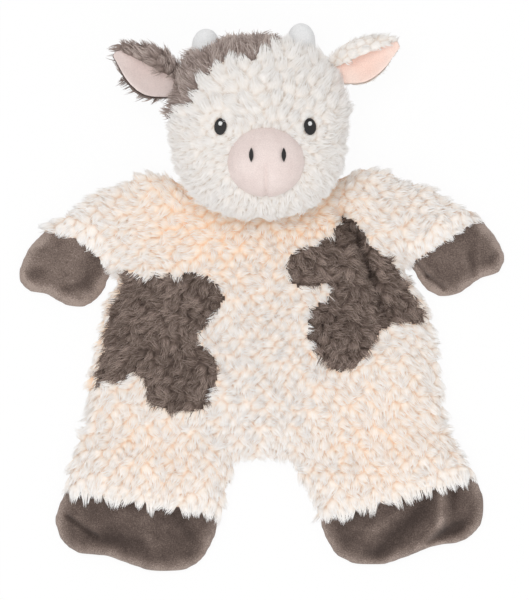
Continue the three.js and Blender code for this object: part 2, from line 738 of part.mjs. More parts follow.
function buildHead(neck) {
  const head = body('head', new THREE.Vector3(HEAD_X, NECK_Y, NECK_AXIS_Z), neck);
  const outer = headBlock(0);
  const hollow = headBlock(-FUR, CORE_SEGMENTS, CORE_RINGS);
  const core = headBlock(-FUR - GAP, CORE_SEGMENTS, CORE_RINGS);
  const socket = solidOf(neckStub(GAP));
  const shell = outer.subtract(hollow);
  const face = shell.intersect(above(HEAD_SEAM_Z + GAP / 2));
  const patch = prism(HEAD_PATCH, 0, FAR);
  const patchRoom = prism(grownOutline(HEAD_PATCH, GAP), -1, FAR);
  const back = shell.intersect(below(HEAD_SEAM_Z - GAP / 2)).intersect(above(0)).subtract(socket);
  addPiece(head, 'head_front', geometryOf(face.subtract(patchRoom)), OFF_WHITE);
  addPiece(head, 'head_patch', geometryOf(face.intersect(patch)), LIGHT_BROWN);
  addPiece(head, 'head_back', geometryOf(back), OFF_WHITE);
  addPiece(head, 'head_stuffing', geometryOf(core.subtract(socket)), WADDING);
  return head;
}

// A thin raised patch of stitching on the front of a rounded surface, above its middle
function stitched(outline, middle, surface, raise) {
  const over = prism(outline, middle, FAR);
  return geometryOf(over.intersect(surface(raise + STITCHING)).subtract(surface(raise)));
}

function ellipseOutline(centre, width, height, tilt) {
  const turn = THREE.MathUtils.degToRad(tilt);
  const { x, y } = centre;
  const curve = new THREE.EllipseCurve(x, y, width / 2, height / 2, 0, 2 * Math.PI, false, turn);
  return curve.getPoints(ROUND_SEGMENTS).slice(0, -1);
}

function buildEyes(head) {
  for (const [name, side] of LIMB_SIDES) {
    const centre = at(HEAD_X + EYE_SHIFT + (side * EYE_SPACING) / 2, HEAD_Y + EYE_RAISE);
    const glint = at(centre.x, centre.y + HIGHLIGHT_RAISE);
    const eye = ellipseOutline(centre, EYE_WIDTH, EYE_HEIGHT, side * EYE_TILT);
    const spark = ellipseOutline(glint, 2 * HIGHLIGHT_RADIUS, 2 * HIGHLIGHT_RADIUS, 0);
    addPiece(head, `eye_${name}`, stitched(eye, HEAD_Z, headBlock, GAP), BLACK);
    addPiece(head, `eye_highlight_${name}`, stitched(spark, HEAD_Z, headBlock, 2 * GAP + STITCHING), WHITE);
  }
}

// Muzzle
function muzzleDome(layer) {
  const geometry = new THREE.SphereGeometry(1, CORE_SEGMENTS, CORE_RINGS);
  geometry.scale(MUZZLE_HALF_WIDTH + layer, MUZZLE_HALF_HEIGHT + layer, MUZZLE_HALF_DEPTH + layer);
  return solidOf(geometry.translate(MUZZLE_X, MUZZLE_Y, MUZZLE_Z));
}

// An almond standing on its point
function almondOutline(centre, width, height) {
  const [top, bottom] = [at(centre.x, centre.y + height / 2), at(centre.x, centre.y - height / 2)];
  const rightSide = new THREE.QuadraticBezierCurve(bottom, at(centre.x + width, centre.y), top);
  const leftSide = new THREE.QuadraticBezierCurve(top, at(centre.x - width, centre.y), bottom);
  return [...rightSide.getPoints(6).slice(0, -1), ...leftSide.getPoints(6).slice(0, -1)];
}

function buildMuzzle(head) {
  const face = headBlock(GAP);
  const cover = muzzleDome(0).subtract(muzzleDome(-SHORT_PILE)).subtract(face);
  addPiece(head, 'muzzle_cover', geometryOf(cover), PINK);
  addPiece(head, 'muzzle_stuffing', geometryOf(muzzleDome(-SHORT_PILE - GAP).subtract(face)), WADDING);
  for (const [name, side] of LIMB_SIDES) {
    const x = MUZZLE_X + NOSTRIL_SHIFT + (side * NOSTRIL_SPACING) / 2;
    const nostril = almondOutline(at(x, MUZZLE_Y + NOSTRIL_RAISE), NOSTRIL_WIDTH, NOSTRIL_HEIGHT);
    addPiece(head, `nostril_${name}`, stitched(nostril, MUZZLE_Z, muzzleDome, GAP), BLACK);
  }
}

// Horns: rounded nubs on the top seam
function hornNub(x, top, layer) {
  const radius = HORN_RADIUS + layer;
  const steps = 6;
  const profile = [[0, HEAD_Y], [radius, HEAD_Y]];
  for (let k = 0; k <= steps; k += 1) {
    const angle = (k / steps) * (Math.PI / 2);
    const along = top + layer - radius + radius * Math.sin(angle);
    profile.push([k < steps ? radius * Math.cos(angle) : 0, along]);
  }
  return solidOf(turnedAlongY(profile, ROUND_SEGMENTS, x, 0, HEAD_Z));
}

function buildHorns(head) {
  const face = headBlock(GAP);
  for (const [name, side] of LIMB_SIDES) {
    const offset = side < 0 ? HORN_LEFT : HORN_RIGHT;
    const share = (1 - (offset / HEAD_HALF_WIDTH) ** HEAD_SQUARENESS) ** (1 / HEAD_SQUARENESS);
    const top = HEAD_Y + HEAD_HALF_HEIGHT * share + HORN_LENGTH;
    const nub = (layer) => hornNub(HEAD_X + side * offset, top, layer);
    const cover = nub(0).subtract(nub(-HORN_FABRIC)).subtract(face);
    addPiece(head, `horn_${name}`, geometryOf(cover), HORN);
    addPiece(head, `horn_${name}_stuffing`, geometryOf(nub(-HORN_FABRIC - GAP).subtract(face)), WADDING);
  }
}

// Ears: a leaf whose upper half is folded over to the front
// The section runs from the lower edge, behind, over the top and forward to the folded edge
const EAR_SECTION = spline(
  at(-1, 0.12), at(-0.5, -0.16), at(0.2, -0.22), at(0.78, -0.1), at(1, 0.2), at(0.7, 0.46), at(0.12, 0.5),
);
const EAR_WIDTHS = spline(
  at(0, EAR_ROOT_HALF), at(0.35, EAR_HALF_WIDTH), at(0.72, EAR_OUTER_HALF), at(1, EAR_TIP_HALF),
);
const EAR_DEPTHS = spline(at(0, 0.1), at(0.35, 1), at(0.72, 0.95), at(1, 0.5));

function earSurface(root, point, offset) {
  const long = new THREE.Vector3(Math.cos(point), Math.sin(point), 0);
  const wide = new THREE.Vector3(-long.y, long.x, 0);
  if (wide.y < 0) wide.negate();
  const lengthSteps = 8;
  const sectionSteps = 9;
  const grid = [];
  for (let i = 0; i <= lengthSteps; i += 1) {
    const s = i / lengthSteps;
    const half = EAR_WIDTHS.getPoint(s).y;
    const depth = EAR_DEPTHS.getPoint(s).y;
    const thickness = (half / EAR_HALF_WIDTH) * THREE.MathUtils.lerp(EAR_EDGE_SHARE, 1, depth);
    const shift = offset * thickness;
    const column = [];
    for (let j = 0; j <= sectionSteps; j += 1) {
      const t = j / sectionSteps;
      const place = EAR_SECTION.getPoint(t);
      const tangent = EAR_SECTION.getTangent(t);
      column.push(root.clone()
        .addScaledVector(long, s * EAR_LENGTH)
        .addScaledVector(wide, place.x * half - tangent.y * shift)
        .add(new THREE.Vector3(0, 0, s * EAR_LIFT + place.y * half * depth + tangent.x * shift)));
    }
    grid.push(column);
  }
  return grid;
}

function buildEar(name, side, head) {
  const rootAngle = side < 0 ? EAR_ROOT_LEFT : EAR_ROOT_RIGHT;
  const pointing = THREE.MathUtils.degToRad(side < 0 ? EAR_POINT_LEFT : EAR_POINT_RIGHT);
  const seat = headOutlinePoint(rootAngle);
  const outwards = at(Math.cos(pointing), Math.sin(pointing)).multiplyScalar(EAR_ROOT_GAP);
  const root = new THREE.Vector3(seat.x + outwards.x, seat.y + outwards.y, HEAD_Z);
  const ear = body(`ear_${name}`, root, head);
  const layer = (inner, outer) => slab(
    earSurface(root, pointing, inner),
    earSurface(root, pointing, outer),
  );
  const fur = side < 0 ? LIGHT_BROWN : OFF_WHITE;
  addPiece(ear, `ear_${name}_back`, layer(-EAR_FUR - GAP / 2, -GAP / 2), fur);
  addPiece(ear, `ear_${name}_lining`, layer(GAP / 2, EAR_LINING + GAP / 2), side < 0 ? PINK : PEACH);
}

const torso = buildTorso();
for (const [name, side] of LIMB_SIDES) {
  buildArm(name, side, torso);
  buildLeg(name, side, torso);
}
const neck = body('neck', new THREE.Vector3(HEAD_X, NECK_Y, SEAM_HEIGHT), torso);
addPiece(neck, 'neck', geometryOf(solidOf(neckStub(0))), CREAM);
const head = buildHead(neck);
buildEyes(head);
buildMuzzle(head);
buildHorns(head);
for (const [name, side] of LIMB_SIDES) buildEar(name, side, head);

export default cow;
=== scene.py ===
import itertools
import json
import math

import bmesh
import bpy
import numpy as np
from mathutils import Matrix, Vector
from mathutils.bvhtree import BVHTree
from mathutils.kdtree import KDTree


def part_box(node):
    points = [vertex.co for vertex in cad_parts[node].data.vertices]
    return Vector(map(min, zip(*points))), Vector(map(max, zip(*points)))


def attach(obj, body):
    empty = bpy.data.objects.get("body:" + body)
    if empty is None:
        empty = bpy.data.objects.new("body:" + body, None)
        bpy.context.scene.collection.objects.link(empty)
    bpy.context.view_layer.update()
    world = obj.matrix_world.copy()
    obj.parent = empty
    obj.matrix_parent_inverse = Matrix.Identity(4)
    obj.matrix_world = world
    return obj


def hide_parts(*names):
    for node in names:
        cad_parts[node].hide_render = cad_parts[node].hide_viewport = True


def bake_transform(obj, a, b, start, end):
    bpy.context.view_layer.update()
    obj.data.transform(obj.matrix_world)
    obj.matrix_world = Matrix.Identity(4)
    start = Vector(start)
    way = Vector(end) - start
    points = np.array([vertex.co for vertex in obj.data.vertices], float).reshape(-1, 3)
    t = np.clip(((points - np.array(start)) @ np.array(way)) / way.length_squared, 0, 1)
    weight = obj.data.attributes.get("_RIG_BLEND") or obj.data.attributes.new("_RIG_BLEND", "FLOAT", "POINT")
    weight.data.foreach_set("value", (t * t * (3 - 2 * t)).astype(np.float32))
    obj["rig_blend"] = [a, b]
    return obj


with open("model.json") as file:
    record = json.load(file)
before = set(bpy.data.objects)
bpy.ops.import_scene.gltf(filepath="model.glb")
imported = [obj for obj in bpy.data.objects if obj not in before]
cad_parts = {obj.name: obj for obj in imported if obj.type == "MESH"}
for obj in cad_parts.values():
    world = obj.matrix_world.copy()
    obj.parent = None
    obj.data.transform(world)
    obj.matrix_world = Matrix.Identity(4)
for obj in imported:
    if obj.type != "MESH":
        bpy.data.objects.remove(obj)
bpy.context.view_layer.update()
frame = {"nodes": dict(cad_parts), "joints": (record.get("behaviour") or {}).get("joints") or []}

MM = 0.001
SIDES = ("left", "right")
SEED = 7
PLAN = (1, 1, 0)
VECTOR = "FLOAT_VECTOR"
FLOOR_CLEAR = 0.45 * MM
SKIN_CLEAR = 0.3 * MM


# Small helpers
def coordinates(mesh):
    flat = np.zeros(len(mesh.vertices) * 3, np.float32)
    mesh.vertices.foreach_get("co", flat)
    return flat.reshape(-1, 3).astype(float)


def set_coordinates(mesh, points):
    mesh.vertices.foreach_set("co", np.asarray(points, np.float32).ravel())
    mesh.update()


def vertex_normals(mesh):
    return np.array([n.vector for n in mesh.vertex_normals], float)


def surface(made):
    return coordinates(made.data), vertex_normals(made.data)


def face_middles(mesh):
    return np.array([p.center for p in mesh.polygons], float).reshape(-1, 3)


def face_normals(mesh):
    return np.array([p.normal for p in mesh.polygons], float).reshape(-1, 3)


def smoothstep(low, high, x):
    t = np.clip((x - low) / (high - low), 0, 1)
    return t * t * (3 - 2 * t)


def unit(vectors):
    return vectors / np.maximum(np.linalg.norm(vectors, axis=1), 1e-12)[:, None]


def new_object(name, data):
    made = bpy.data.objects.new(name, data)
    bpy.context.scene.collection.objects.link(made)
    return made


def baked(made):
    """Turns an object with modifiers into a plain mesh of what they make."""
    graph = bpy.context.evaluated_depsgraph_get()
    mesh = bpy.data.meshes.new_from_object(made.evaluated_get(graph), depsgraph=graph)
    made.modifiers.clear()
    made.data = mesh
    return made


def mesh_of(name, bm):
    mesh = bpy.data.meshes.new(name)
    bm.to_mesh(mesh)
    bm.free()
    return mesh


def put_attribute(mesh, name, values, kind="FLOAT"):
    layer = mesh.attributes.new(name, kind, "POINT")
    field = "vector" if kind == VECTOR else "value"
    layer.data.foreach_set(field, np.asarray(values, np.float32).ravel())


def joined(nodes):
    """A bmesh of several CAD nodes."""
    bm = bmesh.new()
    for node in nodes:
        bm.from_mesh(frame["nodes"][node].data)
    return bm


def surface_of(nodes):
    """A tree to cast rays against CAD nodes."""
    bm = joined(nodes)
    tree = BVHTree.FromBMesh(bm)
    bm.free()
    return tree


def middle_of(node):
    low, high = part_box(node)
    return (low + high) / 2


def plumb(tree, x, y, height=1.0):
    """Where a plumb line from above, or from below zero, first meets a surface, and the normal there."""
    return tree.ray_cast(Vector((x, y, height)), Vector((0, 0, -height)))[:2]


def tree_of_points(points):
    tree = KDTree(len(points))
    for k, point in enumerate(points):
        tree.insert(point, k)
    tree.balance()
    return tree


def gaps_to(tree, places):
    """How far each place lies from the nearest point of a tree."""
    return np.array([tree.find(p)[2] for p in places])


def soft_areas(points, areas):
    """Sum of soft round areas in plan: each a place in millimetres, a reach and a strength."""
    total = np.zeros(len(points))
    for x, y, reach, strength in areas:
        away = np.hypot(points[:, 0] - x * MM, points[:, 1] - y * MM)
        total += strength * np.exp(-((away / (reach * MM)) ** 2))
    return total


# Node trees
class Steps:
    """Adds nodes to a tree one by one and links what each is given."""

    def __init__(self, tree):
        self.tree = tree

    def add(self, kind, inputs=None, **settings):
        node = self.tree.nodes.new(kind)
        for name, value in settings.items():
            setattr(node, name, value)
        self.put(node, inputs or {})
        return node

    def put(self, node, inputs):
        for name, value in inputs.items():
            if isinstance(name, int):
                socket = node.inputs[name]
            else:
                socket = next(s for s in node.inputs if s.name == name and s.enabled)
            if isinstance(value, bpy.types.Node):
                value = next(s for s in value.outputs if s.enabled)
            if isinstance(value, bpy.types.NodeSocket):
                self.tree.links.new(value, socket)
            else:
                socket.default_value = value

    def math(self, operation, a, b=0.0):
        return self.add("ShaderNodeMath", {0: a, 1: b}, operation=operation)

    def vector(self, operation, a, b=(0, 0, 0)):
        return self.add("ShaderNodeVectorMath", {0: a, 1: b}, operation=operation)

    def measure(self, operation, a, b=(0, 0, 0)):
        return self.vector(operation, a, b).outputs["Value"]

    def scaled(self, vector, factor):
        return self.add("ShaderNodeVectorMath", {0: vector, "Scale": factor}, operation="SCALE")

    def sum(self, *vectors):
        total = vectors[0]
        for vector in vectors[1:]:
            total = self.vector("ADD", total, vector)
        return total

    def attribute(self, name, kind="FLOAT"):
        return self.add("GeometryNodeInputNamedAttribute", {"Name": name}, data_type=kind)

    def store(self, geometry, name, kind, value, domain="POINT"):
        return self.add(
            "GeometryNodeStoreNamedAttribute", {"Geometry": geometry, "Name": name, "Value": value},
            data_type=kind, domain=domain)

    def random(self, low, high, seed):
        return self.add("FunctionNodeRandomValue", {2: low, 3: high, "Seed": seed}, data_type="FLOAT")

    def random_vector(self, reach, seed):
        limits = {0: (-reach,) * 3, 1: (reach,) * 3}
        return self.add("FunctionNodeRandomValue", {**limits, "Seed": seed}, data_type=VECTOR)

    def noise(self, scale, detail, roughness=0.5):
        place = self.add("ShaderNodeTexCoord").outputs["Object"]
        return self.add("ShaderNodeTexNoise", {
            "Vector": place, "Scale": scale, "Detail": detail, "Roughness": roughness}).outputs["Fac"]

    def ramp(self, factor, stops):
        node = self.add("ShaderNodeValToRGB", {"Fac": factor})
        elements = node.color_ramp.elements
        while len(elements) < len(stops):
            elements.new(0.5)
        for element, (place, colour) in zip(elements, stops):
            element.position = place
            element.color = srgb(*colour)
        return node

    def end(self, geometry, material):
        """Shades a tree's result smooth, makes it real and gives it its material."""
        smooth = self.add("GeometryNodeSetShadeSmooth", {"Geometry": geometry})
        whole = self.add("GeometryNodeRealizeInstances", {"Geometry": smooth})
        whole = self.add("GeometryNodeSetMaterial", {"Geometry": whole, "Material": material})
        self.add("NodeGroupOutput", {"Geometry": whole})
        return self.tree


def new_tree(name, inputs):
    """A tree of geometry nodes with named inputs."""
    tree = bpy.data.node_groups.new(name, "GeometryNodeTree")
    for label, kind in inputs.items():
        tree.interface.new_socket(label, in_out="INPUT", socket_type="NodeSocket" + kind)
    tree.interface.new_socket("Geometry", in_out="OUTPUT", socket_type="NodeSocketGeometry")
    s = Steps(tree)
    return s, s.add("NodeGroupInput").outputs


def run_tree(made, tree, values):
    """Runs a tree on an object with these inputs, and leaves a plain mesh."""
    ids = {item.name: item.identifier for item in tree.interface.items_tree if item.in_out == "INPUT"}
    modifier = made.modifiers.new(tree.name, "NODES")
    modifier.node_group = tree
    for name, value in values.items():
        modifier[ids[name]] = value
    return baked(made)


# Fur: strands on a skin that lean together into curls
FUR_INPUTS = {
    "Skin": "Geometry", "Curls": "Object", "Density": "Float", "Strand radius": "Float", "Spread": "Float",
    "Lift": "Float", "Stray": "Float", "Tone range": "Float", "Seed": "Int", "Fur": "Material",
}
STRAND_POINTS = 3
STRAND_SIDES = 3
STRAND_WIDTH = 1.15
STRAND_FLAT = 0.5
STRAND_TAPER = 0.85
STRAND_RISE = (0.95, 1.3)
LEAST_RISE = 0.4
RISE_SEED, STRAY_SEED, TONE_SEED = 11, 12, 13
CURL_REACH = 3.4 * MM
CURL_DROP = 0.35
# How far a strand's shading turns to its curl and to the sky, and which of its sides take that shading
SHADE_LEAN = 0.6
SHADE_UP = 0.9
UPPER_SIDE = 0.1
# How far up the colour of a strand the ground below it reaches: the gaps between knobs take the darker root
# colour, partly the backing's own colour and partly painted shade and a painted glow
GROUND_TOP = 0.6


def strand_roots(s, given):
    """Points on a skin, each with the root, bend and tip of its strand and the tone of its curl, which
    carries a painted glow and painted crease shade.
    """
    curls = s.add("GeometryNodeObjectInfo", {"Object": given["Curls"]}, transform_space="RELATIVE")
    curls = curls.outputs["Geometry"]
    scatter = s.add("GeometryNodeDistributePointsOnFaces", {
        "Mesh": given["Skin"], "Density": s.math("MULTIPLY", given["Density"], s.attribute("cover")),
        "Seed": given["Seed"]})
    normal = scatter.outputs["Normal"]
    root = s.add("GeometryNodeInputPosition")
    flat = s.attribute("flat", VECTOR)
    nearest = s.add("GeometryNodeSampleNearest", {"Geometry": curls, "Sample Position": flat})

    def of_curl(value, kind):
        return s.add("GeometryNodeSampleIndex", {
            "Geometry": curls, "Value": value, "Index": nearest}, data_type=kind)

    middle = of_curl(s.add("GeometryNodeInputPosition"), VECTOR)
    aim = of_curl(s.attribute("aim", VECTOR), VECTOR)
    tone = of_curl(s.attribute("tone"), "FLOAT")
    spread = s.math("MULTIPLY", given["Spread"], of_curl(s.attribute("fan"), "FLOAT"))
    away = s.vector("SUBTRACT", flat, middle)
    share = s.math("DIVIDE", s.measure("LENGTH", away), CURL_REACH)
    drop = s.math("MULTIPLY", s.math("POWER", share, 2.0), CURL_DROP)
    rise = s.math("SUBTRACT", s.random(*STRAND_RISE, RISE_SEED), drop)
    rise = s.math("MAXIMUM", rise, LEAST_RISE)
    stray = s.scaled(s.random_vector(1.0, STRAY_SEED), given["Stray"])
    tip = s.sum(middle, s.scaled(aim, rise), s.scaled(away, spread), stray)
    halfway = s.scaled(s.vector("ADD", root, tip), 0.5)
    bend = s.vector("ADD", halfway, s.scaled(normal, given["Lift"]))
    vary = s.math("MULTIPLY", s.random(-1.0, 1.0, TONE_SEED), given["Tone range"])
    tone = s.add("ShaderNodeClamp", {"Value": s.math("ADD", tone, vary)})
    shade = s.sum(normal, s.scaled(s.vector("NORMALIZE", aim), SHADE_LEAN), (0, 0, SHADE_UP))

    points = scatter.outputs["Points"]
    for name, kind, value in (
        ("root", VECTOR, root), ("bend", VECTOR, bend), ("tip", VECTOR, tip),
        ("tone", "FLOAT", tone), ("start", "FLOAT", s.attribute("rise")),
        ("normal", VECTOR, s.vector("NORMALIZE", shade)),
    ):
        points = s.store(points, "strand_" + name, kind, value)
    return points, tone


def strand_tubes(s, points, radius):
    """A bent, tapering tube for each strand: flat side out, and shaded as softly as the whole pile."""
    line = s.add("GeometryNodeCurvePrimitiveLine")
    line = s.add("GeometryNodeResampleCurve", {"Curve": line, "Count": STRAND_POINTS})
    strands = s.add("GeometryNodeInstanceOnPoints", {"Points": points, "Instance": line})
    strands = s.add("GeometryNodeRealizeInstances", {"Geometry": strands})
    along = s.add("GeometryNodeSplineParameter").outputs["Factor"]
    left = s.math("SUBTRACT", 1.0, along)
    start = s.math("MULTIPLY", s.attribute("strand_start"), GROUND_TOP)
    height = s.math("ADD", start, s.math("MULTIPLY", along, s.math("SUBTRACT", 1.0, start)))
    strands = s.store(strands, "strand_along", "FLOAT", height)

    weights = {
        "strand_root": s.math("POWER", left, 2.0),
        "strand_bend": s.math("MULTIPLY", s.math("MULTIPLY", along, left), 2.0),
        "strand_tip": s.math("POWER", along, 2.0),
    }
    place = s.sum(*(s.scaled(s.attribute(name, VECTOR), w) for name, w in weights.items()))
    place = s.vector("MAXIMUM", place, (-1, -1, FLOOR_CLEAR))
    strands = s.add("GeometryNodeSetPosition", {"Geometry": strands, "Position": place})
    taper = s.math("SUBTRACT", 1.0, s.math("MULTIPLY", s.math("POWER", along, 2.0), STRAND_TAPER))
    outwards = s.attribute("strand_normal", VECTOR)
    strands = s.add("GeometryNodeSetCurveNormal", {"Curve": strands, "Normal": outwards}, mode="FREE")
    profile = s.add("GeometryNodeCurvePrimitiveCircle", {
        "Resolution": STRAND_SIDES, "Radius": STRAND_WIDTH})
    profile = s.add("GeometryNodeTransform", {"Geometry": profile, "Scale": (-STRAND_FLAT, -1, 1)})
    strands = s.add("GeometryNodeCurveToMesh", {
        "Curve": strands, "Profile Curve": profile, "Scale": s.math("MULTIPLY", taper, radius)})

    facing = s.add(
        "GeometryNodeFieldOnDomain", {"Value": s.add("GeometryNodeInputNormal").outputs["True Normal"]},
        domain="FACE", data_type=VECTOR)
    upper = s.math("GREATER_THAN", s.measure("DOT_PRODUCT", facing, outwards), UPPER_SIDE)
    shaded = s.add(
        "GeometryNodeSwitch", {"Switch": upper, "False": facing, "True": outwards}, input_type="VECTOR")
    strands = s.add(
        "GeometryNodeSetMeshNormal", {"Mesh": strands, "Custom Normal": shaded}, mode="TANGENT_SPACE")
    reading = s.add("ShaderNodeCombineXYZ", {
        "X": s.attribute("strand_tone"), "Y": s.attribute("strand_along")})
    return s.store(strands, "OFBake", "FLOAT2", reading, "CORNER")


def fur_tree():
    """A skin with its strands. Their colour is read from a map: tone across it, random with a painted glow
    and painted crease shade, and height of the pile up it, with darker roots that paint shade and glow into
    the gaps.
    """
    s, given = new_tree("curly_fur", FUR_INPUTS)
    points, tone = strand_roots(s, given)
    strands = strand_tubes(s, points, given["Strand radius"])
    reading = s.add("ShaderNodeCombineXYZ", {
        "X": tone, "Y": s.math("MULTIPLY", s.attribute("rise"), GROUND_TOP)})
    ground = s.store(given["Skin"], "OFBake", "FLOAT2", reading, "CORNER")
    join = s.add("GeometryNodeJoinGeometry")
    for part in (ground, strands):
        s.tree.links.new(part.outputs[0], join.inputs[0])
    return s.end(join, given["Fur"])


# Materials, each kept under the name of its slot
FINISHES = {}
GRAIN_DEPTH = 0.4 * MM
PILE_GRAIN = 1800.0
HOOF_GRAIN = 1500.0
HOOF_PATCHES = 110.0
THREAD_GRAIN = 2500.0


def srgb(red, green, blue):
    def linear(c):
        c /= 255
        return c / 12.92 if c <= 0.04045 else ((c + 0.055) / 1.055) ** 2.4
    return (linear(red), linear(green), linear(blue), 1)


def darker(colour, share):
    return tuple(share * c for c in colour)


def new_material(name):
    FINISHES[name] = material = bpy.data.materials.new(name)
    material.use_nodes = True
    material.node_tree.nodes.clear()
    s = Steps(material.node_tree)
    shader = s.add("ShaderNodeBsdfPrincipled")
    s.add("ShaderNodeOutputMaterial", {"Surface": shader})
    return s, shader


def fur_material(name, cool, warm):
    """Fur whose colour runs from a darker root, partly the backing's own colour and partly painted shade and
    glow in the gaps, to a pale tip, and from a cool to a warm ramp by the tone of its curl.
    """
    s, shader = new_material(name)
    uv = s.add("ShaderNodeUVMap", uv_map="OFBake")
    reading = s.add("ShaderNodeSeparateXYZ", {"Vector": uv}).outputs
    mix = s.add("ShaderNodeMix", {
        "Factor": reading["X"], "A": s.ramp(reading["Y"], cool), "B": s.ramp(reading["Y"], warm)},
        data_type="RGBA")
    s.put(shader, {"Base Color": mix, "Roughness": 0.85, "Specular IOR Level": 0.2})


def set_short_pile(s, shader, colour, grain, bump, sheen, sheen_roughness):
    raised = s.add("ShaderNodeBump", {"Strength": bump, "Distance": GRAIN_DEPTH, "Height": grain})
    s.put(shader, {
        "Base Color": colour, "Normal": raised, "Roughness": 0.9, "Specular IOR Level": 0.15,
        "Sheen Weight": sheen, "Sheen Roughness": sheen_roughness})


def pile_material(name, colour, light, nap_size):
    """Short-pile plush: a soft pile that lies one way and another in patches, partly its own tone and partly
    a painted sheen, over a fine bump.
    """
    s, shader = new_material(name)
    # patches: partly the pile's own tone, partly a painted sheen where the pile lies another way
    nap_and_painted_light = s.noise(1 / nap_size, detail=4.0, roughness=0.6)
    grain = s.noise(PILE_GRAIN, detail=2.0)
    patches = s.ramp(nap_and_painted_light, ((0.32, colour), (0.72, light)))
    specks = s.ramp(grain, ((0.3, darker(colour, 0.7)), (0.7, light)))
    mix = s.add("ShaderNodeMix", {"Factor": 0.25, "A": patches, "B": specks}, data_type="RGBA")
    set_short_pile(s, shader, mix, grain, bump=0.35, sheen=0.15, sheen_roughness=0.35)


def hoof_material(name, stops):
    """Dark short pile by the mesh's own attribute: a painted sheen on rims, painted highlights on ridges and
    painted shade in hollows.
    """
    s, shader = new_material(name)
    nap_and_painted_light = s.add("ShaderNodeAttribute", attribute_name="nap_and_painted_light").outputs["Fac"]
    # patches as on the short pile: partly its own tone, partly a painted sheen
    patches = s.noise(HOOF_PATCHES, detail=3.0)
    grain = s.noise(HOOF_GRAIN, detail=2.0, roughness=0.7)
    level = nap_and_painted_light
    for pattern, strength in ((patches, 0.6), (grain, 1.3)):
        shift = s.math("MULTIPLY", s.math("SUBTRACT", pattern, 0.5), strength)
        level = s.math("ADD", level, shift)
    set_short_pile(s, shader, s.ramp(level, stops), grain, bump=0.3, sheen=0.25, sheen_roughness=0.4)


def thread_material(name, colour):
    s, shader = new_material(name)
    fibre = s.noise(THREAD_GRAIN, detail=2.0)
    tint = s.ramp(fibre, ((0.3, darker(colour, 0.8)), (0.7, colour)))
    s.put(shader, {"Base Color": tint, "Roughness": 0.45})


# Each ramp runs from root to tip. The warm ramp of the cream fur is a painted peach glow, and the cool ramp
# of the brown fur, taken in its creases, is a painted shade.
fur_material(
    "cream_fur",
    cool=((0.0, (216, 184, 161)), (0.4, (241, 232, 223)), (0.85, (249, 248, 247))),
    warm=((0.0, (247, 195, 148)), (0.45, (251, 232, 211)), (0.9, (254, 250, 246))),
)
fur_material(
    "white_fur",
    cool=((0.0, (208, 194, 182)), (0.35, (237, 232, 227)), (0.8, (245, 243, 241))),
    warm=((0.0, (216, 192, 172)), (0.35, (240, 231, 221)), (0.8, (246, 242, 238))),
)
fur_material(
    "brown_fur",
    cool=((0.0, (42, 34, 31)), (0.45, (92, 78, 71)), (0.95, (124, 108, 99))),
    warm=((0.0, (58, 48, 43)), (0.45, (124, 107, 98)), (0.95, (186, 167, 156))),
)
fur_material(
    "light_brown_fur",
    cool=((0.0, (74, 62, 57)), (0.45, (132, 116, 109)), (0.95, (168, 152, 145))),
    warm=((0.0, (98, 84, 77)), (0.45, (166, 150, 143)), (0.95, (214, 199, 191))),
)
# Dark end for the painted shade of hollows, light end for the painted sheen of rims
hoof_material(
    "hoof_plush",
    ((0.0, (62, 52, 48)), (0.4, (92, 79, 73)), (0.75, (126, 111, 103)), (1.0, (164, 148, 139))),
)
pile_material("pink_plush", (228, 211, 206), (238, 223, 218), 12 * MM)
# A lighter, warmer copy of the pink pile for the right ear's lining: painted light, where that ear catches
# more light and its fold throws it back
pile_material("peach_plush", (252, 224, 212), (254, 234, 224), 12 * MM)
pile_material("horn_plush", (229, 230, 231), (239, 239, 239), 8 * MM)
thread_material("black_thread", (35, 32, 33))
thread_material("white_thread", (250, 250, 250))


# The folds of the toy, from the joints
CUFF_BOWS = {"wrist_left": 6.5 * MM}


class Fold:
    """A fold line in plan: a point on it, its direction, and the way out to the moving piece."""

    def __init__(self, joint):
        self.at = Vector(joint["pos_m"])
        self.along = Vector(joint["axis"]).normalized()
        self.out = Vector((-self.along.y, self.along.x, 0))
        points = coordinates(frame["nodes"][joint["child"] + "_front"].data)
        if (Vector(points.mean(0)) - self.at).dot(self.out) < 0:
            self.out.negate()
        depth = (points - np.array(self.at)) @ np.array(self.out)
        places = (points[depth < MM] - np.array(self.at)) @ np.array(self.along)
        self.start, self.end = places.min(), places.max()
        self.bow = CUFF_BOWS.get(joint["name"], 0.0)

    def edge(self, place):
        """How far a cuff's edge lies out from the fold line: it bows back in its middle."""
        share = (2 * place - self.start - self.end) / (self.end - self.start)
        return -self.bow * np.maximum(1 - share ** 2, 0)

    def depth(self, points):
        """How far points lie out beyond the edge."""
        away = np.asarray(points) - np.array(self.at)
        return away @ np.array(self.out) - self.edge(away @ np.array(self.along))

    def corner(self, place, out, height):
        flat = self.at + self.along * place + self.out * out
        return (flat.x, flat.y, height)


FOLDS = {
    joint["name"]: Fold(joint)
    for joint in frame["joints"]
    if joint["name"].split("_")[0] in ("shoulder", "wrist", "hip", "ankle")
}


# Padded skins: cut from the CAD nodes, filled, and parted into panels
FOLD_BAR_WIDTH = 34 * MM
FOLD_BAR_HEIGHT = 13 * MM
FOLD_BAR_SHORT = 6 * MM
MERGE = 0.01 * MM
FILLING_FRAMES = 14
FILLING = {
    "quality": 4, "mass": 0.25, "tension_stiffness": 12, "compression_stiffness": 12,
    "bending_stiffness": 0.6, "use_pressure": True, "uniform_pressure_force": 3.0,
}


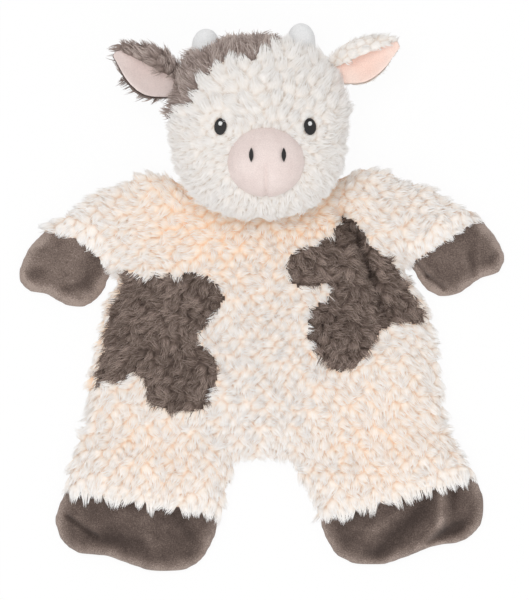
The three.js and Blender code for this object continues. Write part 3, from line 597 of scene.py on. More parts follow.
def add_fold_bar(bm, fold):
    """Fabric that bridges a fold, so that the skin runs on over it."""
    half = FOLD_BAR_WIDTH / 2
    ends = (fold.start + FOLD_BAR_SHORT, fold.end - FOLD_BAR_SHORT)
    section = [(-half, FOLD_BAR_HEIGHT), (half, FOLD_BAR_HEIGHT), (half / 2, 0), (-half / 2, 0)]
    rings = [[bm.verts.new(fold.corner(end, out, z)) for out, z in section] for end in ends]
    faces = [bm.faces.new(ring) for ring in rings]
    for k in range(4):
        n = (k + 1) % 4
        faces.append(bm.faces.new((rings[0][k], rings[0][n], rings[1][n], rings[1][k])))
    bmesh.ops.recalc_face_normals(bm, faces=faces)


def gathered(name, nodes, voxel=None, folds=()):
    """One closed skin over several CAD nodes, cut anew in small squares if a size is given for them."""
    bm = joined(nodes)
    for fold in folds:
        add_fold_bar(bm, fold)
    bmesh.ops.remove_doubles(bm, verts=bm.verts, dist=MERGE)
    skin = new_object(name, mesh_of(name, bm))
    if voxel is None:
        return skin
    remesh = skin.modifiers.new("remesh", "REMESH")
    remesh.mode = "VOXEL"
    remesh.voxel_size = voxel
    return baked(skin)


def swell(skin, most):
    """Fills a skin with loose fibre: cloth under pressure, held to a largest move."""
    start = coordinates(skin.data)
    cloth = skin.modifiers.new("filling", "CLOTH")
    for name, value in FILLING.items():
        setattr(cloth.settings, name, value)
    cloth.settings.effector_weights.gravity = 0
    cloth.point_cache.frame_end = FILLING_FRAMES
    for step in range(1, FILLING_FRAMES + 1):
        bpy.context.scene.frame_set(step)
    baked(skin)
    bpy.context.scene.frame_set(1)
    move = coordinates(skin.data) - start
    length = np.linalg.norm(move, axis=1)
    share = np.minimum(1, most / np.maximum(length, 1e-9))
    set_coordinates(skin.data, start + move * share[:, None])


def relaxed(skin, rounds):
    smooth = skin.modifiers.new("smooth", "SMOOTH")
    smooth.factor = 0.5
    smooth.iterations = rounds
    return baked(skin)


def refined(skin):
    finer = skin.modifiers.new("finer", "SUBSURF")
    finer.levels = finer.render_levels = 1
    return baked(skin)


def panel(skin, name, keep):
    """A piece of a skin: the faces that are kept."""
    bm = bmesh.new()
    bm.from_mesh(skin.data)
    bm.faces.ensure_lookup_table()
    drop = [face for face, kept in zip(bm.faces, keep) if not kept]
    bmesh.ops.delete(bm, geom=drop, context="FACES")
    return new_object(name, mesh_of(name, bm))


def cover_with(piece, slot):
    piece.data.materials.clear()
    piece.data.materials.append(FINISHES[slot])
    piece.data.shade_smooth()


def finish_padded(piece, body, slot, fill, *nodes):
    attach(piece, body)
    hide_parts(*nodes)


def finish_over_fold(piece, joint, inner, outer, reach):
    """A padded piece that bends over a fold, and stands for all three layers of the outer body."""
    fold = FOLDS[joint]
    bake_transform(piece, inner, outer, start=fold.at, end=fold.at + fold.out * reach)
    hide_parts(f"{outer}_front", f"{outer}_back", f"{outer}_padding")


# Curls: where the tufts of a fur stand, which way they lean, and the tone of their colour, random with a
# painted glow and painted crease shade
KNOB_FLATNESS = 0.45
KNOB_LEAN = 0.35
AROUND = list(itertools.product((-1, 0, 1), repeat=3))


def spread_points(candidates, clear, rng, taken=()):
    """Picks points that stay clear of each other, in a shuffled order."""
    grid = {}
    chosen = []

    def cell(point):
        return tuple(int(math.floor(c / clear)) for c in point)

    def keep(point):
        grid.setdefault(cell(point), []).append(point)

    def near(point):
        x, y, z = cell(point)
        others = (other for i, j, k in AROUND for other in grid.get((x + i, y + j, z + k), ()))
        return any((point - other).dot(point - other) < clear * clear for other in others)

    for point in taken:
        keep(point)
    for k in rng.permutation(len(candidates)):
        if not near(candidates[k]):
            keep(candidates[k])
            chosen.append(k)
    return np.array(chosen, int)


class Curls:
    """The tufts of one fur, as points that the fur tree reads."""

    def __init__(self, name, points, aims, tones, fans=None):
        self.points, self.aims = points, aims
        mesh = bpy.data.meshes.new(name)
        mesh.from_pydata([tuple(p) for p in points], [], [])
        put_attribute(mesh, "aim", aims, VECTOR)
        put_attribute(mesh, "tone", np.clip(tones, 0, 1))
        put_attribute(mesh, "fan", np.ones(len(points)) if fans is None else fans)
        self.object = new_object(name, mesh)
        self.object.hide_render = True

    def nearest(self, places):
        tree = tree_of_points(self.points)
        return np.array([tree.find(p)[1] for p in places])

    def raise_knobs(self, skin, share):
        """Lifts the ground of a skin into one soft knob below each curl."""
        flat = coordinates(skin.data)
        tree = tree_of_points(self.points)
        rise = np.zeros(len(flat))
        own = np.zeros(len(flat), int)
        for k, point in enumerate(flat):
            (_, first, near), (_, _, next_near) = tree.find_n(point, 2)
            own[k] = first
            rise[k] = (1 - (2 * near / (near + next_near)) ** 2) ** KNOB_FLATNESS
        cover = np.zeros(len(flat), np.float32)
        skin.data.attributes["cover"].data.foreach_get("value", cover)
        rise *= np.minimum(cover, 1)
        put_attribute(skin.data, "flat", flat, VECTOR)
        put_attribute(skin.data, "rise", rise)
        aims = self.aims[own]
        way = unit(vertex_normals(skin.data) + unit(aims) * KNOB_LEAN)
        moved = flat + way * (np.linalg.norm(aims, axis=1) * rise * share)[:, None]
        moved[:, 2] = np.maximum(moved[:, 2], FLOOR_CLEAR)
        set_coordinates(skin.data, moved)


def leaning(normals, flow, lean, height):
    """Aim vectors: up from the skin, tipped towards the flow."""
    flow = unit(flow - normals * (flow * normals).sum(1)[:, None])
    aims = normals * np.cos(lean)[:, None] + flow * np.sin(lean)[:, None]
    return unit(aims) * height[:, None]


FUR_TREE = fur_tree()
BODY_FUR = {
    "Density": 0.75e6, "Strand radius": 0.235 * MM, "Spread": 0.74, "Lift": 1.1 * MM, "Stray": 0.7 * MM,
    "Tone range": 0.14,
}
BACK_FUR = {**BODY_FUR, "Density": 0.2e6, "Strand radius": 0.46 * MM}
SPOT_FUR = {
    **BODY_FUR, "Density": 1.15e6, "Strand radius": 0.18 * MM, "Spread": 0.8, "Stray": 1.7 * MM,
    "Tone range": 0.8,
}
HEAD_FUR = {**BODY_FUR, "Spread": 0.76, "Stray": 0.8 * MM}
HEAD_BACK_FUR = {**HEAD_FUR, "Density": 0.28e6}
PATCH_FUR = {
    **HEAD_FUR, "Density": 1.0e6, "Spread": 0.95, "Stray": 2.0 * MM, "Lift": 1.6 * MM, "Tone range": 0.9,
}
EAR_FUR = {**HEAD_FUR, "Spread": 0.7, "Stray": 1.1 * MM, "Tone range": 0.5, "Lift": 0.8 * MM}


def grow_fur(skin, curls, slot, values):
    """Covers a skin with strands, and leaves a plain mesh."""
    run_tree(skin, FUR_TREE, {"Curls": curls.object, "Fur": FINISHES[slot], "Seed": SEED, **values})
    layers = [a.name for a in skin.data.attributes if a.name.startswith("strand_")]
    for layer in layers + ["cover", "flat", "rise"]:
        skin.data.attributes.remove(skin.data.attributes[layer])


def dress(skin, curls, slot, values, fill, body, *nodes):
    """Grows fur on a padded piece that rides on one body."""
    grow_fur(skin, curls, slot, values)
    finish_padded(skin, body, slot, fill, *nodes)


# Body: sizes of its skin, its curls and its cuffs
LIMBS = (
    # a limb, its end, and the joints at its root and before its end
    ("arm", "hand", "shoulder", "wrist"), ("leg", "foot", "hip", "ankle"),
)
BODY_NODES = [
    node for node in frame["nodes"]
    if node.split("_")[0] in ("torso", "patch", "arm", "hand", "leg", "foot") and "padding" not in node
]
HOOF_FOLDS = ("wrist_left", "wrist_right", "ankle_left", "ankle_right")
BODY_VOXEL = 2.6 * MM
BODY_SWELL = 4 * MM
BODY_FLATTEN = 0.64
HOOF_FLATTEN = 0.82
FUR_INSET = 1.6 * MM
HOOF_INSET = -2.0 * MM
INSET_REACH = 24 * MM
BACK_PILE = 2.6 * MM
CUFF_WIDTH = 8 * MM
EDGE_WIDTH = 1.5 * MM
LIMB_BEND = 26 * MM
HOOF_BEND = 14 * MM
BODY_FILL = 0.35
CUT_MERGE = 0.02 * MM

BODY_REACH = (160 * MM, 180 * MM)
CURL_ACROSS = 7.4 * MM
CURL_ROWS = 4.7 * MM
CURL_JITTER = 0.85 * MM
CURL_CLEAR = 5.2 * MM
SPOT_CLEAR = 4.3 * MM
SPOT_RIM = 3.5 * MM
SCALLOP = 0.5
CUFF_SPACING = 6.6 * MM
CUFF_JITTER = 0.5 * MM
CUFF_CLEAR = 4.4 * MM
CUFF_ROWS = 3.6 * MM
CUFF_BACK = {"wrist": 4.0 * MM, "ankle": 1.4 * MM}
CUFF_PILES = {"wrist": 5.0 * MM, "ankle": 7.4 * MM}
CUFF_FAN = 0.95
CUFF_VARY = (0.75, 1.15)
CUFF_LEAN = (1.2, 1.42)
CUFF_STRAY = 0.3
CUFF_DENSER = 1.8
BODY_PILE = 6.2 * MM
SPOT_PILE = 5.4 * MM
PILE_VARY = (0.85, 1.15)
CURL_LEAN = (0.62, 1.0)
BACK_HEIGHT = 3.0 * MM
BODY_KNOB = 0.4
FLOW_FROM = Vector((0, 70 * MM, 0))
FLOW_TURN = 0.5
BELLY_BELOW = 15 * MM
BELLY_HALF = (45, 55)
BELLY_TURN = 1.2
BELLY_UPRIGHT = 0.2

# How much of the upright part of a normal counts as level, steep, on the back or on the upper side
LEVEL = 0.5
SPOT_LEVEL = 0.3
STEEP = 0.4
HOOF_STEEP = 0.35
BACK_SIDE = -0.25
UPPER_FACES = -0.1

BODY_CREASES = (
    # start and end in plan, depth, half width and height of the ridge on its left, in millimetres
    ((70, 5), (62.5, 28), 9.0, 2.8, 1.0), ((62.5, 28), (55, 48), 12.0, 3.4, 2.0),
    ((55, 48), (45, 63), 10.0, 3.0, 1.0),
)
HOOF_CREASES = (
    # right foot: a ridge from the cuff to the notch, hollows on both sides, a low ridge by the inner lobe
    ((107, -104), (106, -121), -2.2, 3.2, 0), ((106, -121), (95, -137), -2.6, 3.2, 0),
    ((99, -134), (117, -124), 3.4, 4.0, 0), ((95, -114), (69, -140), 2.4, 5.0, 0),
    ((79, -116), (65, -128), -1.3, 4.0, 0), ((114, -105), (114, -112), 1.6, 2.6, 0),
    # left foot: a sharp diagonal crease that runs out into a hollow, and a low ridge
    ((-118, -118), (-101, -130), 1.8, 1.5, 0.8), ((-101, -130), (-76, -134), 2.0, 4.5, 0),
    ((-70, -118), (-69, -131), -1.4, 3.5, 0), ((-52, -117), (-44, -128), 1.2, 4.0, 0),
    # right hand: a crease beside the inner edge, and one up from the notch
    ((90, 36), (98, 26.5), 1.6, 1.3, 0.6), ((98, 26.5), (108, 19), 1.6, 1.3, 0.6),
    ((127, 25), (124, 39), 1.5, 2.4, 0), ((134, 34), (140, 40), 1.2, 3.5, 0),
    # left hand: shallow dimples
    ((-141, 28), (-134, 29), 1.4, 3.2, 0), ((-103, 27), (-97, 31), 1.4, 3.0, 0),
    ((-117, 19), (-107, 22), 1.4, 3.0, 0), ((-101, 38), (-95, 42), 1.4, 4.0, 0),
)
# In half widths of a crease: how its ends fade, and where its ridge lies and how wide it is
CREASE_FADE = 1.5
RIDGE_AWAY = 2.0
RIDGE_WIDTH = 1.6
CREASE_WALLS = 3
CREASE_LEAST = 0.05 * MM
CREASE_DEEP = 6 * MM
CREASE_SHORT = 0.7
CREASE_UPRIGHT = 0.6
RIM_UNCREASED = 4 * MM

# Hoof colour level: a base for each hoof, a painted sheen along the rims, and painted highlight and shade
# per millimetre of ridge and hollow
NAP_BASE = {"hand_left": 0.58, "hand_right": 0.5, "foot_left": 0.34, "foot_right": 0.34}
RIM_SHEEN = 0.5
RIM_SHEEN_WIDTH = 9 * MM
SHADE_AND_HIGHLIGHT_PER_MM = 0.14
NAP_RANGE = (0.02, 0.98)

PAINTED_GLOW_AREAS = (
    # plan place in millimetres, reach and strength of a painted peach glow, for light scattered through the
    # fibres
    (-38, 62, 34, 1.0), (32, 62, 24, 0.9), (0, 40, 40, 0.35), (66, -50, 44, 0.42), (70, -85, 34, 0.4),
    (-74, -62, 40, 0.34), (-60, -88, 30, 0.32), (-75, 60, 24, 0.24), (78, 58, 24, 0.2),
)
PAINTED_GLOW_VARY = (0.8, 1.1)
PLUMP_AREAS = (
    # plan place in millimetres, reach, and how far the edge stands out there
    (46, 89, 15, 8.4), (-46, 88, 12, 2.0), (104, 0, 34, 3.4), (97, 40, 14, 3.0), (-97, 42, 12, 2.2),
    (0, -78, 14, 3.6), (28, -112, 12, 3.4), (-27, -112, 14, 3.6), (-88, -95, 16, 1.8), (110, -96, 14, 1.0),
    (-133, 48, 16, 0.8), (101, 13, 12, 4.2), (110, -48, 18, 2.4), (-99, 12, 15, 3.8), (-99, 79, 18, 0.8),
    (64, 90, 12, 4.0), (-62, 92, 12, 3.2), (-113, -87, 12, 2.4), (121, -86, 12, 1.8), (-112, -42, 18, 1.8),
)
PRESSED_AREAS = (
    # plan place in millimetres, reach and share: between the head and the shoulders, and beside the hands
    (-30, 86, 20, 1.0), (30, 86, 20, 1.0), (0, 88, 18, 1.0), (92, 31, 11, 1.0), (-94, 28, 10, 1.0),
)
PRESSED_UNDER = 34 * MM
PRESSED_FADE = 0.6
PRESSED_SKIN = 0.2
PRESSED_BODY_PILE = 0.6
PRESSED_HEAD_PILE = 0.65
HOOF_SHIFTS = {
    # millimetres in plan
    "wrist_left": (-1.0, 1.2), "wrist_right": (-0.2, 3.2),
    "ankle_left": (-0.4, -0.9), "ankle_right": (1.0, 1.8),
}
HOOF_SHIFT_WIDTH = 3 * CUFF_WIDTH
HOOF_TURNS = {"ankle_right": math.radians(-3.5), "wrist_right": math.radians(4)}


def pressed(points):
    """From 0 to 1 where fur lies pressed by the head or a hand."""
    share = np.clip(soft_areas(points, PRESSED_AREAS), 0, 1)
    return share * (1 - smoothstep(PRESSED_FADE * PRESSED_UNDER, PRESSED_UNDER, points[:, 2]))


def on_side(points, side):
    return points[:, 0] < 0 if side == "left" else points[:, 0] >= 0


def region_masks(points):
    """Which body each point in plan belongs to."""
    masks = {}
    rest = np.ones(len(points), bool)
    for side in SIDES:
        here = on_side(points, side)
        for limb, end, root, cuff in LIMBS:
            beyond = here & (FOLDS[f"{root}_{side}"].depth(points) > 0)
            tip = beyond & (FOLDS[f"{cuff}_{side}"].depth(points) > 0)
            masks[f"{limb}_{side}"] = beyond & ~tip
            masks[f"{end}_{side}"] = tip
            rest &= ~beyond
    masks["torso"] = rest
    return masks


def share_of_hoof(points, name, width):
    """From 0 on the fur to 1 on one hoof, across its cuff."""
    root = name.replace("wrist", "shoulder").replace("ankle", "hip")
    here = on_side(points, name.split("_")[1]) & (FOLDS[root].depth(points) > 0)
    return np.where(here, smoothstep(-width, 0, FOLDS[name].depth(points)), 0)


def hoof_share(points, width=CUFF_WIDTH):
    return np.maximum.reduce([share_of_hoof(points, name, width) for name in HOOF_FOLDS])


def crease_height(points, creases):
    """Height that creases add: each a line in plan with a hollow along it and a ridge on its left."""
    total = np.zeros(len(points))
    for start, end, depth, width, ridge in creases:
        start, end = np.array(start) * MM, np.array(end) * MM
        length = np.linalg.norm(end - start)
        way = (end - start) / length
        away = points[:, :2] - start
        along = away @ way
        across = way[0] * away[:, 1] - way[1] * away[:, 0]
        past = np.maximum(0, np.maximum(-along, along - length))
        fade = np.exp(-((past / (width * CREASE_FADE * MM)) ** 2))
        total -= depth * MM * fade * np.exp(-((across / (width * MM)) ** 2))
        from_ridge = (across - RIDGE_AWAY * width * MM) / (RIDGE_WIDTH * width * MM)
        total += ridge * MM * fade * np.exp(-(from_ridge ** 2))
    return total


def outline_of(points, normals):
    """The points that make a skin's outline, seen from above, without the walls of its creases."""
    walls = [(start, end, 1.0, CREASE_WALLS * width, 0) for start, end, _, width, _ in BODY_CREASES]
    smooth = crease_height(points, walls) > -CREASE_LEAST
    rim = np.flatnonzero((np.abs(normals[:, 2]) < STEEP) & smooth)
    return tree_of_points(points[rim] * PLAN), rim


def tuck(skin):
    """Draws the skin in from the outline by the length of its pile, and lets it lie flat on its back."""
    points, normals = surface(skin)
    tree, rim = outline_of(points, normals)
    flat = points * PLAN
    out = unit(normals[rim] * PLAN)
    hoof = hoof_share(points)
    inset = FUR_INSET + (HOOF_INSET - FUR_INSET) * hoof - soft_areas(points, PLUMP_AREAS) * MM
    for name, shift in HOOF_SHIFTS.items():
        share = share_of_hoof(flat, name, HOOF_SHIFT_WIDTH)[:, None]
        away = points[:, :2] - np.array(FOLDS[name].at)[:2]
        turn = HOOF_TURNS.get(name, 0) * np.stack([-away[:, 1], away[:, 0]], 1)
        points[:, :2] += share * (np.array(shift) * MM + turn)
    for k, point in enumerate(flat):
        _, nearest, distance = tree.find(point)
        points[k] -= out[nearest] * inset[k] * max(0, 1 - distance / INSET_REACH)
    back = BACK_PILE * (1 - hoof) + SKIN_CLEAR * hoof
    flatten = BODY_FLATTEN + (HOOF_FLATTEN - BODY_FLATTEN) * hoof
    points[:, 2] = back + np.maximum(points[:, 2], 0) * flatten
    points[:, 2] *= 1 - PRESSED_SKIN * pressed(points)
    points[:, 2] += (normals[:, 2] > 0) * crease_height(points, BODY_CREASES)
    points[:, 2] = np.maximum(points[:, 2], SKIN_CLEAR)
    set_coordinates(skin.data, points)


def cut_at_folds(skin):
    bm = bmesh.new()
    bm.from_mesh(skin.data)
    for name, fold in FOLDS.items():
        left = name.endswith("left")
        verts = [v for v in bm.verts if (v.co.x < 0) == left]
        chosen = set(verts)
        edges = [e for e in bm.edges if all(v in chosen for v in e.verts)]
        faces = [f for f in bm.faces if all(v in chosen for v in f.verts)]
        bmesh.ops.bisect_plane(
            bm, geom=verts + edges + faces, dist=CUT_MERGE, plane_co=fold.at, plane_no=fold.out)
    old = skin.data
    skin.data = mesh_of(skin.name, bm)
    bpy.data.meshes.remove(old)


def body_skin():
    """One skin over torso, limbs and hooves: filled, drawn in and cut at the folds."""
    skin = gathered("body_skin", BODY_NODES, BODY_VOXEL, FOLDS.values())
    swell(skin, BODY_SWELL)
    relaxed(skin, rounds=8)
    tuck(skin)
    relaxed(skin, rounds=6)
    refined(skin)
    cut_at_folds(skin)
    return skin


def spot_of(points):
    """Which brown spot each point lies in, seen from above: -1 for none."""
    spots = np.full(len(points), -1)
    for k, side in enumerate(SIDES):
        tree = surface_of([f"patch_{side}"])
        for n, point in enumerate(points):
            if plumb(tree, point[0], point[1])[0]:
                spots[n] = k
    return spots


def lattice_places(tree, rng):
    """Places on a diamond lattice, on the front and the back of the body, and the normals there."""
    columns, rows = (int(reach / step) + 1 for reach, step in zip(BODY_REACH, (CURL_ACROSS, CURL_ROWS)))
    found = []
    for row in range(-rows, rows + 1):
        for column in range(-columns, columns + 1):
            x = (column + 0.5 * (row % 2)) * CURL_ACROSS
            spot = Vector((x, row * CURL_ROWS, 0)) + Vector((*rng.normal(0, CURL_JITTER, 2), 0))
            for height in (1.0, -1.0):
                place, normal = plumb(tree, spot.x, spot.y, height)
                if place and abs(normal.z) > LEVEL:
                    found.append((place, normal))
    return found


def cuff_places(tree, rng):
    """Tufts in two rows along each cuff, that hang out over the hoof: places, normals and the way out."""
    found = []
    for name in HOOF_FOLDS:
        fold = FOLDS[name]
        count = 2 * round((fold.end - fold.start) / CUFF_SPACING)
        for k in range(count + 1):
            along = fold.start + (fold.end - fold.start) * k / count + rng.normal(0, CUFF_JITTER)
            back = CUFF_BACK[name.split("_")[0]] + CUFF_ROWS * (k % 2)
            x, y, _ = fold.corner(along, fold.edge(along) - back, 0)
            for height in (1.0, -1.0):
                place, normal = plumb(tree, x, y, height)
                if place:
                    found.append((place, normal, fold.out))
    return found


def curl_places(skin, rng):
    """Where the body's curls stand: on a lattice and the cuffs, finer in the spots, more at the edge."""
    corners, slopes = surface(skin)
    faces = [tuple(p.vertices) for p in skin.data.polygons]
    tree = BVHTree.FromPolygons([tuple(p) for p in corners], faces)
    lattice = lattice_places(tree, rng)
    cuffs = cuff_places(tree, rng)
    clear = tree_of_points([place for place, _, _ in cuffs])
    brown = spot_of([place for place, _ in lattice]) >= 0
    places = [
        (place, normal) for (place, normal), in_spot in zip(lattice, brown)
        if clear.find(place)[2] > CUFF_CLEAR and not (in_spot and normal.z > 0)
    ]
    cuff_from = len(places)
    places += [(place, normal) for place, normal, _ in cuffs]

    brown = np.flatnonzero((spot_of(corners) >= 0) & (slopes[:, 2] > SPOT_LEVEL))
    for candidates, spacing in ((brown, SPOT_CLEAR), (np.arange(len(corners)), CURL_CLEAR)):
        taken = [place for place, _ in places]
        chosen = candidates[spread_points([Vector(corners[k]) for k in candidates], spacing, rng, taken)]
        places += [(Vector(corners[k]), Vector(slopes[k])) for k in chosen]
    points, normals = (np.array([tuple(v) for v in column]) for column in zip(*places))
    ways = np.zeros((len(points), 3))
    ways[cuff_from:cuff_from + len(cuffs)] = [tuple(way) for _, _, way in cuffs]
    return points, normals, ways


def turned(flow, angle):
    """Directions in plan, each turned by its angle."""
    cos, sin = np.cos(angle), np.sin(angle)
    x, y = flow[:, 0] * cos - flow[:, 1] * sin, flow[:, 0] * sin + flow[:, 1] * cos
    return np.stack([x, y, np.zeros(len(flow))], 1)


def body_curls(skin):
    """Curls that flow away from the neck, lie wild on the belly, and hang over the hooves at the cuffs."""
    rng = np.random.default_rng(SEED)
    points, normals, ways = curl_places(skin, rng)
    count = len(points)
    front = normals[:, 2] > BACK_SIDE
    spots = np.where(front, spot_of(points), -1)
    belly = np.hypot(points[:, 0] / BELLY_HALF[0] / MM, (points[:, 1] + BELLY_BELOW) / BELLY_HALF[1] / MM)
    belly = np.exp(-(belly ** 2))
    hollow = np.clip(-crease_height(points, BODY_CREASES) / CREASE_DEEP, 0, 1)
    flow = turned(unit(points - np.array(FLOW_FROM)), rng.normal(0, FLOW_TURN + BELLY_TURN * belly))
    height = np.where(spots >= 0, SPOT_PILE, BODY_PILE) * rng.uniform(*PILE_VARY, count)
    height *= (1 - CREASE_SHORT * hollow) * (1 - PRESSED_BODY_PILE * pressed(points))
    lean = rng.uniform(*CURL_LEAN, count) - BELLY_UPRIGHT * belly
    lean *= 1 - CREASE_UPRIGHT * hollow

    cuff = (ways ** 2).sum(1) > 0
    flow[cuff] = ways[cuff] + rng.normal(0, CUFF_STRAY, (cuff.sum(), 3))
    lean[cuff] = rng.uniform(*CUFF_LEAN, cuff.sum())
    piles = np.where(points[:, 1] > 0, CUFF_PILES["wrist"], CUFF_PILES["ankle"])
    height[cuff] = (piles * rng.uniform(*CUFF_VARY, count))[cuff]
    height = np.where(normals[:, 2] < BACK_SIDE, BACK_HEIGHT, height)
    # painted shade: brown curls in creases take a lower tone, the darker cool ramp
    spot_tones_and_shade = rng.uniform(0, 1, count) - hollow
    # painted glow: cream curls in these areas take the warm peach ramp
    painted_glow = np.clip(soft_areas(points, PAINTED_GLOW_AREAS), 0, 1)
    cream_glow_tones = painted_glow * front * rng.uniform(*PAINTED_GLOW_VARY, count)
    tones = np.where(spots >= 0, spot_tones_and_shade, cream_glow_tones)
    aims = leaning(normals, flow, lean, height)
    return Curls("body_curls", points, aims, tones, np.where(cuff, CUFF_FAN, 1))


def face_spots(skin, curls, middles, upper):
    """Which spot each face belongs to, along an edge that follows the curls: -1 for none."""
    edges = middles + (curls.points[curls.nearest(middles)] - middles) * SCALLOP
    outline, _ = outline_of(*surface(skin))
    inner = gaps_to(outline, edges * PLAN) > SPOT_RIM
    return np.where(upper & inner, spot_of(edges), -1)


def shape_hoof(hoof, base):
    """Presses the creases into a hoof, and paints its colour level: a painted sheen along the rims, painted
    highlights on ridges and painted shade in hollows.
    """
    points, normals = surface(hoof)
    flat = points * PLAN
    away = gaps_to(tree_of_points(flat[np.abs(normals[:, 2]) < HOOF_STEEP]), flat)
    height = crease_height(points, HOOF_CREASES) * smoothstep(0, RIM_UNCREASED, away)
    # painted sheen near the rims, painted highlight on ridges and painted shade in hollows
    nap_and_painted_light = base + RIM_SHEEN * (1 - smoothstep(0, RIM_SHEEN_WIDTH, away)) + SHADE_AND_HIGHLIGHT_PER_MM * height / MM
    put_attribute(hoof.data, "nap_and_painted_light", np.clip(nap_and_painted_light, *NAP_RANGE))
    points[:, 2] = np.maximum(points[:, 2] + (normals[:, 2] > 0) * height, SKIN_CLEAR)
    set_coordinates(hoof.data, points)


def dress_side(skin, curls, masks, side, spot, cream):
    """The brown spot, the limbs and the hooves of one side."""
    patch = panel(skin, f"patch_{side}_fur", spot)
    dress(patch, curls, "brown_fur", SPOT_FUR, BODY_FILL, "torso", f"patch_{side}")
    for limb, _, root, _ in LIMBS:
        name = f"{limb}_{side}"
        piece = panel(skin, f"{name}_fur", masks[name] & cream)
        grow_fur(piece, curls, "cream_fur", BODY_FUR)
        finish_over_fold(piece, f"{root}_{side}", "torso", name, LIMB_BEND)
    for limb, end, _, cuff in LIMBS:
        name = f"{end}_{side}"
        hoof = panel(skin, f"{name}_hoof", masks[name])
        shape_hoof(refined(hoof), NAP_BASE[name])
        cover_with(hoof, "hoof_plush")
        finish_over_fold(
            hoof, f"{cuff}_{side}", f"{limb}_{side}", name, HOOF_BEND)


def build_body():
    skin = body_skin()
    curls = body_curls(skin)
    flat = coordinates(skin.data)
    cover = (1 - hoof_share(flat, EDGE_WIDTH)) * (1 + CUFF_DENSER * hoof_share(flat))
    put_attribute(skin.data, "cover", cover)
    middles = face_middles(skin.data)
    upper = face_normals(skin.data)[:, 2] >= UPPER_FACES
    spots = face_spots(skin, curls, middles, upper)
    masks = region_masks(middles)
    curls.raise_knobs(skin, BODY_KNOB)

    torso = masks["torso"]
    for name, keep, values, nodes in (
        ("torso_front_fur", torso & upper & (spots < 0), BODY_FUR, ("torso_front", "torso_padding")),
        ("torso_back_fur", torso & ~upper, BACK_FUR, ("torso_back",)),
    ):
        dress(panel(skin, name, keep), curls, "cream_fur", values, BODY_FILL, "torso", *nodes)
    hooves = np.logical_or.reduce([masks[f"{end}_{side}"] for _, end, _, _ in LIMBS for side in SIDES])
    for k, side in enumerate(SIDES):
        spot = upper & (spots == k) & ~hooves
        dress_side(skin, curls, masks, side, spot, cream=(spots < 0) | ~upper)
    bpy.data.objects.remove(skin)


# Head: a ball of curls with a brown patch
HEAD_NODES = ["head_front", "head_patch", "head_back", "head_stuffing"]
HEAD_VOXEL = 3.0 * MM
HEAD_SWELL = 3 * MM
HEAD_INSET = 0.2 * MM
HEAD_FILL = 0.8
HEAD_SEAM_HEIGHT = 36 * MM
PATCH_BELOW_SEAM = 8 * MM
PATCH_EDGE = (
    # millimetres in plan
    (-58, 118), (-45, 126.5), (-40, 136), (-34, 149), (-22, 150), (-16, 154), (-6, 155.5), (6, 163),
)
HEAD_PLUMP = ((-47, 158, 10, 5.0), (45, 164, 10, 4.2), (-60, 122, 12, 1.5))
HEAD_KNOB = 0.36
HEAD_BACK_SIDE = -0.5
BROW_CURL_CLEAR = 6.6 * MM
CHEEK_CURL_CLEAR = 4.8 * MM
BROW_PILE = 7.0 * MM
CHEEK_PILE = 4.8 * MM
HEAD_VARY = (0.8, 1.25)
HEAD_LEAN = (0.65, 1.0)
HEAD_STRAY = 0.35
PATCH_DYE = 0.8
FACE_DYE = 0.35
BROW_EDGE = (-4 * MM, 12 * MM)
FLOW_ABOVE_MUZZLE = 12 * MM
EYE_DROP = 1.1 * MM
EYES = [middle_of(f"eye_{side}") - Vector((0, EYE_DROP, 0)) for side in SIDES]
EYE_BARE = (4.0, 5.4)
EYE_PILE = 0.35
EYE_CLEAR = (5 * MM, 13 * MM)
MUZZLE = middle_of("muzzle_cover")
MUZZLE_BARE = 0.9
NECK_VOXEL = 1.4 * MM
NECK_PILE = 2.0 * MM
NECK_LEAN = (0.7, 1.1)
# the neck's fur takes the warm ramp: the same painted peach glow as below the chin
NECK_TONE = 0.6
SMALL_KNOB = 0.26


def head_skin():
    skin = gathered("head_skin", HEAD_NODES, HEAD_VOXEL)
    swell(skin, HEAD_SWELL)
    relaxed(skin, rounds=6)
    points = coordinates(skin.data) - vertex_normals(skin.data) * HEAD_INSET
    out = unit((points - points.mean(0)) * PLAN)
    points += out * (soft_areas(points, HEAD_PLUMP) * MM)[:, None]
    points[:, 2] = np.maximum(points[:, 2], BACK_PILE)
    set_coordinates(skin.data, points)
    return refined(skin)


def head_cover(points, normals):
    """1 where the head has fur, 0 below the eyes and the muzzle."""
    low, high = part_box("muzzle_cover")
    span = (high - low) / 2
    bare = np.hypot((points[:, 0] - MUZZLE.x) / span.x, (points[:, 1] - MUZZLE.y) / span.y) < MUZZLE_BARE
    for eye in EYES:
        away = np.hypot((points[:, 0] - eye.x) / EYE_BARE[0], (points[:, 1] - eye.y) / EYE_BARE[1])
        bare |= away < MM
    return np.where(bare & (normals[:, 2] > 0), 0.0, 1.0)


